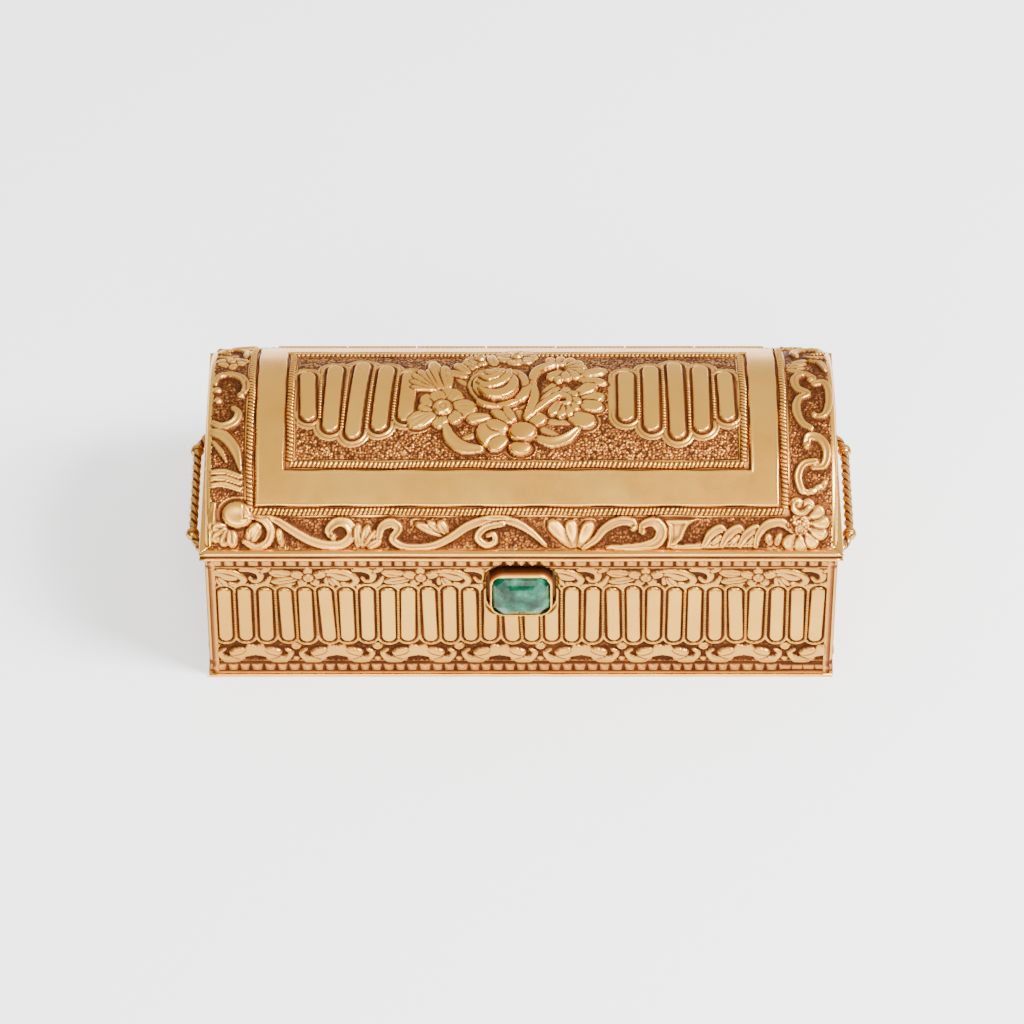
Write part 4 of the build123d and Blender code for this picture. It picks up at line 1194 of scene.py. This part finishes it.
def wall_pieces():
    long_half = HALF_LENGTH - 0.05
    end_half = HALF_DEPTH - 0.1
    collet_low, collet_high = cad("stone_collet")
    gap = 0.35
    corner = 2.05
    centre_z = (collet_low[2] + collet_high[2]) / 2
    half_w = (collet_high[0] - collet_low[0]) / 2 + gap
    half_h = (collet_high[2] - collet_low[2]) / 2 + gap

    def opening(u, v):
        du = np.abs(u) - half_w + corner
        dv = np.abs(v - centre_z) - half_h + corner
        outside = np.hypot(np.maximum(du, 0), np.maximum(dv, 0))
        return outside + np.minimum(np.maximum(du, dv), 0) - corner

    relief, beads = wall_relief(long_half, FRONT_FLUTES, MENDED_FOOT)
    ring = opening(relief.u, relief.v)
    relief.height = np.where(ring < 0.5, relief.height * smooth(0.15, 0.5, ring), relief.height)
    # Painted shade: a dark band round the opening's edge, where the gap round the button lies in shade.
    relief.stain_and_shade += 0.9 * smooth(0.3, 0.1, ring)
    wall = pierced_sheet_mesh("front_wall_relief", relief, front_surface, -SHEET, opening, flip=True)
    # bead lines stop at the opening
    clear = [b for b in beads if abs(b[0][0]) > half_w + 0.3]
    cut = [b for b in beads if abs(b[0][0]) <= half_w + 0.3]
    clear += [(low, (high[0], centre_z - half_h - 0.4)) for low, high in cut]
    wall_set("front", wall, front_surface, clear, True)
    for side, surface, half, count, flip in (
        ("back", back_surface, long_half, FRONT_FLUTES, True),
        ("right", right_surface, end_half, END_FLUTES, False),
        ("left", left_surface, end_half, END_FLUTES, False),
    ):
        relief, beads = wall_relief(half, count)
        wall_set(side, sheet_mesh(f"{side}_wall_relief", relief, surface, -SHEET, flip), surface, beads, flip)


def base_piece():
    """Flat base with a rounded, slightly uneven edge."""
    low, high = cad("base_plate")
    thick = high[2] - low[2]
    turn = np.linspace(0, 2 * np.pi, 360, endpoint=False)
    across, along = np.cos(turn), np.sin(turn)
    scale = np.minimum(high[0] / np.maximum(np.abs(across), 1e-9), high[1] / np.maximum(np.abs(along), 1e-9))
    edge = np.column_stack([across * scale, along * scale])
    wave = 0.03 * np.sin(edge[:, 0] * 0.9) + 0.02 * np.sin(edge[:, 1] * 1.7)
    profile = ((0.16, 0.0), (0.05, 0.05), (0.0, 0.16), (0.0, thick - 0.16),
               (0.06, thick - 0.04), (0.18, thick))
    rings = []
    for inset, z in profile:
        shrink = 1 - (inset + np.maximum(wave, 0)) / np.linalg.norm(edge, axis=1)
        rings.append(np.column_stack([edge * shrink[:, None], np.full(len(edge), z)]))
    points = np.vstack(rings)
    faces = turned(ring_faces(len(rings), len(edge)))
    obj = new_mesh("base_plate_shaped", points, faces, attributes={"patina_and_shade": np.zeros(len(points))})
    finish_piece(obj, POLISHED, "case", ("base_plate",))


# The lid

def lid_pieces():
    relief, beads = lid_relief()
    lid = sheet_mesh("lid_relief", relief, lid_surface, -SHEET, flip=True)
    finish_piece(lid, CHASED, "lid", ("lid_dome", "flower_spray"))
    strips = [ridged_strip(lid_surface, b, 0.24, 0.24, 0.42, 0.0, 0.06) for b in beads]
    finish_piece(join_parts("lid_flute_beads", strips, flip=True), CHASED, "lid")
    ropes = (("outer_rope", OUTER_ROPE_X, OUTER_ROPE_ARC), ("inner_rope", INNER_ROPE_X, INNER_ROPE_ARC))
    for name, x, arc in ropes:
        left, right = ORNAMENT_SHIFT - x, ORNAMENT_SHIFT + x
        inset = arc - ROPE_HALF * 0.8
        strips = []
        for (u0, v0), (u1, v1) in (
            ((left, arc), (right, arc)), ((left, -arc), (right, -arc)),
            ((left, -inset), (left, inset)), ((right, -inset), (right, inset)),
        ):
            many = [(u0 + (u1 - u0) * t, v0 + (v1 - v0) * t) for t in np.linspace(0, 1, 40)]
            strips.append(ridged_strip(lid_surface, many, ROPE_HALF, 0.34, 0.52, 0.35, 0.08, wobble=0.05))
        finish_piece(join_parts(name, strips, flip=True), CHASED, "lid")
    for side in ("left", "right"):
        finish_piece(lid_end_mesh(side), CHASED, "lid", (f"lid_{side}_end",))
    for side in ("front", "left", "right", "back"):
        finish_piece(lid_rim_mesh(side), POLISHED, "lid", (f"lid_rim_{side}",))


def lid_end_mesh(side):
    """Flat end of the lid with a fan of ribs and a raised edge."""
    sign = -1 if side == "left" else 1
    radius = LID_OUTER - 0.1
    columns, rows = 200, 70
    half = math.sqrt(radius**2 - (LID_SPRING - ARC_Z) ** 2)
    y, f = np.meshgrid(np.linspace(-half, half, columns), np.linspace(0, 1, rows), indexing="ij")
    top = ARC_Z + np.sqrt(np.maximum(radius**2 - y**2, 0))
    z = LID_SPRING + f * (top - LID_SPRING)
    edge = np.minimum(radius - np.hypot(y, z - ARC_Z), z - LID_SPRING)
    fan_z = LID_SPRING - 1.5
    angle = np.arctan2(z - fan_z, y)
    reach = np.hypot(y / 1.65, z - fan_z)
    ribs = 0.5 + 0.5 * np.cos(angle * 26)
    inside = smooth(1.0, 1.25, edge) * smooth(2.0, 2.4, reach)
    height = 0.05 + 0.2 * ribs**0.6 * inside
    height += 0.2 * smooth(0.85, 0.6, edge) + 0.18 * hump(reach, 2.0, 0.3) * (edge > 0.9)
    height *= smooth(-0.01, 0.3, edge) * 0.9 + 0.1
    dark = np.clip(0.9 * (1 - ribs) * inside + 0.8 * hump(edge, 0.98, 0.14), 0, 1)
    front = np.stack([sign * (WALL_X + height - 0.05), y, z], -1).reshape(-1, 3)
    rear = np.stack([np.full_like(y, sign * INNER_X), y, z], -1).reshape(-1, 3)
    count = len(front)
    quads = grid_faces(columns, rows)
    faces = [quads, quads[:, ::-1] + count, border_quads(quads, count)]
    if sign < 0:
        faces = turned(faces)
    data = {"patina_and_shade": np.concatenate([dark.ravel(), np.zeros(count)]), "grain": np.zeros(2 * count)}
    return new_mesh(f"lid_{side}_end_relief", np.vstack([front, rear]), faces, attributes=data)


def lid_rim_mesh(side):
    """One side of the lid's lower frame: a reeded flange, or a plain strip at the hinge."""
    low, high = cad(f"lid_rim_{side}")
    flange_low, flange_high = cad("lid_rim_front")
    out_x, out_front, out_back = flange_high[0], flange_low[1], cad("lid_rim_back")[1][1]
    h = high[2] - low[2]
    # each corner: its signs in x and y
    ends = {
        "front": ((-1, -1), (1, -1)), "back": ((1, 1), (-1, 1)),
        "left": ((-1, 1), (-1, -1)), "right": ((1, -1), (1, 1)),
    }[side]
    inner = [np.array([sx * INNER_X, sy * HALF_CHORD]) for sx, sy in ends]
    outer = [np.array([sx * out_x, out_back if sy > 0 else out_front]) for sx, sy in ends]
    # share of the way out, height and patina
    profile = [(0, 0, 0), (0.90, 0, 0), (0.965, 0.03, 0), (1, 0.15, 0), (0.975, 0.28, 0.1), (0.90, 0.34, 0.7),
               (0.87, 0.44, 1), (0.865, 0.6, 0.9), (0.875, 0.74, 0.8), (0.91, 0.8, 0.5), (0.98, 0.86, 0.1),
               (1, 0.98, 0), (0.97, 1.13, 0), (0.92, h, 0.2), (0, h, 0)]
    if side == "back":
        profile = [(0, 0, 0), (0.97, 0, 0), (1, 0.06, 0), (1, h - 0.06, 0), (0.97, h, 0), (0, h, 0)]
    steps = 90
    points, dark = [], []
    for t in np.linspace(0, 1, steps):
        sway = 0.035 * math.sin(11 * t + len(side)) + 0.02 * math.sin(29 * t)
        sway *= 0.7 * math.sin(math.pi * t)
        for f, z, tone in profile:
            start, end = (i + f * (o - i) for i, o in zip(inner, outer))
            x, y = start * (1 - t) + end * t
            points.append((x, y, low[2] + z + (sway if f else 0)))
            dark.append(tone)
    faces = ring_faces(steps, len(profile))
    return new_mesh(f"lid_rim_{side}_shaped", np.array(points), faces, attributes={"patina_and_shade": np.array(dark)})


# The button

def rounded_rect(half_w, half_h, corner, count):
    """Points round a rounded rectangle, with even turns."""
    points = []
    per = count // 4
    centres = ((1, 1), (-1, 1), (-1, -1), (1, -1))
    for k, (sx, sy) in enumerate(centres):
        for n in range(per):
            a = math.radians(90 * k + 90 * n / (per - 1))
            x = sx * (half_w - corner) + corner * math.cos(a)
            points.append((x, sy * (half_h - corner) + corner * math.sin(a)))
    return np.array(points)


def button_pieces():
    low, high = cad("stone_collet")
    cx, cz = (low[0] + high[0]) / 2, (low[2] + high[2]) / 2
    half_w, half_h = (high[0] - low[0]) / 2, (high[2] - low[2]) / 2
    front, back = low[1], high[1]
    count = 120
    turn = np.linspace(0, 2 * np.pi, count, endpoint=False)
    ragged = 0.10 * np.sin(2 * turn + 0.6) + 0.07 * np.sin(5 * turn) + 0.05 * np.sin(11 * turn + 2)
    ragged += 0.28 * hump(turn, 1.75, 0.35) + 0.03 * np.sin(23 * turn)
    # inset, distance along y, how ragged the edge is there, and painted shade: darker back into the wall's
    # opening and on the inner wall beside the stone
    profile = (
        (0.0, back, 0, 1.0), (0.0, back - 1.6, 0, 0.9), (0.0, front + 0.5, 0, 0.6),
        (0.02, front + 0.2, 0, 0.45), (0.06, front + 0.05, 0.2, 0.25), (0.12, front - 0.05, 0.6, 0),
        (0.2, front - 0.08, 1, 0), (0.26, front - 0.02, 1, 0.1), (0.27, front + 0.2, 0.6, 0.9),
        (0.27, front + 0.6, 0, 1), (0.27, back, 0, 1),
    )
    rings = []
    for inset, y, rough, _ in profile:
        ring = rounded_rect(half_w - inset, half_h - inset, max(1.7 - inset * 0.8, 0.5), count)
        ring = ring * (1 - rough * ragged * 0.5 / np.linalg.norm(ring, axis=1))[:, None]
        rings.append(np.column_stack([cx + ring[:, 0], y - rough * 0.12 * ragged, cz + ring[:, 1]]))
    # painted shade for each ring, from the table's last column
    dark = np.repeat([row[3] for row in profile], count)
    faces = ring_faces(len(rings), count, closed=True)
    obj = new_mesh("collet_shaped", np.vstack(rings), faces, attributes={"patina_and_shade": dark})
    finish_piece(obj, PLAIN, "button", ("stone_collet",))

    s_low, s_high = cad("emerald")
    half_w, half_h = (s_high[0] - s_low[0]) / 2 + 0.1, (s_high[2] - s_low[2]) / 2 + 0.18
    table, culet = s_low[1], s_high[1]
    # inset and distance along y of each ring of corners, from the point at the back to the table
    steps = ((1.75, culet), (1.15, culet - 0.5), (0.5, culet - 1.0), (0.0, front + 0.45), (0.0, front + 0.2),
             (0.42, front - 0.22), (0.95, front - 0.56), (1.45, table))
    points = []
    for inset, y in steps:
        w, h = half_w - inset, half_h - inset
        cut = 1.15 * (w / half_w)
        quarter = ((w, h - cut), (w - cut, h))
        for sx, sz, order in ((1, -1, 1), (1, 1, 0), (-1, 1, 1), (-1, -1, 0)):
            corner = quarter[::-1] if order else quarter
            points += [(cx + sx * a, y, cz + sz * b) for a, b in corner]
    stone = new_mesh("emerald_cut", np.array(points), ring_faces(len(steps), 8), smooth_faces=False)
    finish_piece(stone, STONE, "button", ("emerald",))


# Handles

def handle_pieces(side):
    """Twisted bow handle: bar, balls and legs, each over its CAD piece."""
    sign = -1 if side == "left" else 1
    f_low, f_high = cad(f"{side}_handle_front_ball")
    r_low, r_high = cad(f"{side}_handle_rear_ball")
    front = (f_low + f_high) / 2
    rear = (r_low + r_high) / 2
    ball = (f_high[1] - f_low[1]) / 2 * 1.1
    wire = 0.6
    lay = 1.42

    def twist(turn, along):
        return 0.56 + 0.44 * np.abs(np.cos(turn - np.pi * along / lay)) ** 0.8

    bar_path = [front + (rear - front) * t for t in np.linspace(0.03, 0.97, 130)]
    bar = join_parts(f"{side}_handle_bar_twisted", [tube(bar_path, wire, 16, twist)])
    finish_piece(bar, HANDLES, "case", (f"{side}_handle_bar",))
    for name, centre, end in (("front", front, -1), ("rear", rear, 1)):
        foot_low, foot_high = cad(f"{side}_handle_{name}_leg")
        foot_y = foot_low[1] + 0.85 if end < 0 else foot_high[1] - 0.85
        foot = np.array([sign * (WALL_X - 0.1), foot_y, centre[2]])
        bend = (centre + foot) / 2 + np.array([sign * 0.35, end * 0.55, -0.1])
        path = curve_through([centre, bend, foot], 60)
        leg = tube(path, np.linspace(wire * 0.95, wire * 1.05, 60), 16, twist)
        disc_path = [foot + np.array([sign * d, 0, 0]) for d in (0.0, 0.25, 0.38, 0.45)]
        disc = tube(disc_path, np.array([0.9, 0.88, 0.7, 0.4]), 24)
        obj = join_parts(f"{side}_handle_{name}_leg_twisted", [leg, disc])
        finish_piece(obj, HANDLES, "case", (f"{side}_handle_{name}_leg",))
        # ball, a little flattened, with a line round it where the wire was wound
        lat = np.linspace(-np.pi / 2 + 0.05, np.pi / 2 - 0.05, 22)
        grooves = 1 - 0.06 * hump(lat, 0.45, 0.12) - 0.06 * hump(lat, -0.45, 0.12)
        ball_path = np.array([centre + np.array([0, ball * math.sin(a), 0]) for a in lat])
        part = tube(ball_path, ball * np.cos(lat) * grooves, 28)
        dark = np.repeat(np.clip((1 - grooves) * 14, 0, 1), 28)
        obj = join_parts(f"{side}_handle_{name}_ball_wound", [(part[0], part[1], dark)])
        finish_piece(obj, HANDLES, "case", (f"{side}_handle_{name}_ball",))


def dress_cad_nodes():
    """Materials for the solids: the working parts that stay in view and those under shaped pieces."""
    # the button plate gets the near-black gold: painted shade in the gap round the button
    special = {"latch_spring": STEEL, "spring_post_left": STEEL, "spring_post_right": STEEL, "emerald": STONE,
               "button_plate": SHADE_GOLD}
    for name, obj in NODES.items():
        obj.data.materials.clear()
        obj.data.materials.append(special.get(name, PLAIN))


wall_pieces()
base_piece()
lid_pieces()
button_pieces()
handle_pieces("left")
handle_pieces("right")
dress_cad_nodes()

# Stage: pale floor, white surroundings that darken low in front, a small hard light and a wide soft one

FLOOR_REACH = 3.0
floor_corners = [(x * FLOOR_REACH, y * FLOOR_REACH, 0) for x, y in ((-1, -1), (1, -1), (1, 1), (-1, 1))]
floor_mesh = bpy.data.meshes.new("floor")
floor_mesh.from_pydata(floor_corners, [], [(0, 1, 2, 3)])
floor = bpy.data.objects.new("floor", floor_mesh)
bpy.context.scene.collection.objects.link(floor)
floor_white = plain("floor_white", (0.95, 0.95, 0.95), 0.8)
floor_shader = floor_white.node_tree.nodes["Principled BSDF"]
floor_shader.inputs["Emission Color"].default_value = (1, 1, 1, 1)
floor_shader.inputs["Emission Strength"].default_value = 0.9
floor_mesh.materials.append(floor_white)

world = bpy.data.worlds.new("studio")
bpy.context.scene.world = world
world.use_nodes = True
sky = world.node_tree
sky_coords = sky.nodes.new("ShaderNodeTexCoord")
sky_parts = sky.nodes.new("ShaderNodeSeparateXYZ")
sky.links.new(sky_coords.outputs["Generated"], sky_parts.inputs["Vector"])
sky_back = calc(sky, "MULTIPLY", calc(sky, "MAXIMUM", sky_parts.outputs["Y"], 0.0), 0.75)
sky_side = calc(sky, "ADD", sky_parts.outputs["Z"], sky_back)
sky_colour = ramp(sky, sky_side, [(0.0, (0.07, 0.066, 0.062)), (0.36, (0.11, 0.105, 0.10)),
                                  (0.62, (0.95, 0.93, 0.90)), (1.0, (1.0, 1.0, 1.0))])
sky.links.new(sky_colour, sky.nodes["Background"].inputs["Color"])
sky.nodes["Background"].inputs["Strength"].default_value = 1.1


def area_light(name, place, target, size, power):
    data = bpy.data.lights.new(name, "AREA")
    data.shape = "RECTANGLE"
    data.size, data.size_y = size
    data.energy = power
    obj = bpy.data.objects.new(name, data)
    obj.location = place
    obj.rotation_euler = (Vector(target) - Vector(place)).to_track_quat("-Z", "Y").to_euler()
    bpy.context.scene.collection.objects.link(obj)


area_light("key", (0.35, -0.15, 0.45), (0, 0, 0.01), (0.2, 0.2), 9.0)
area_light("front", (-0.1, -0.6, 0.35), (0, 0, 0.0), (0.5, 0.2), 4.0)

# Camera, about 44 degrees above the table
ELEVATION = math.radians(44.0)
DISTANCE = 0.70
AIM = Vector((-0.0011, 0, 0.0109))
NEARER = 0.0133
PIXELS_PER_MM = 8.33
IMAGE_PIXELS = 1024
SENSOR = 36
camera_data = bpy.data.cameras.new("camera")
camera_data.sensor_width = SENSOR
camera_data.lens = PIXELS_PER_MM / MM * (DISTANCE - NEARER) * SENSOR / IMAGE_PIXELS
camera_data.clip_end = 50
camera = bpy.data.objects.new("camera", camera_data)
camera.location = AIM + Vector((0, -math.cos(ELEVATION), math.sin(ELEVATION))) * DISTANCE
camera.rotation_euler = (AIM - camera.location).to_track_quat("-Z", "Y").to_euler()
bpy.context.scene.collection.objects.link(camera)
bpy.context.scene.camera = camera
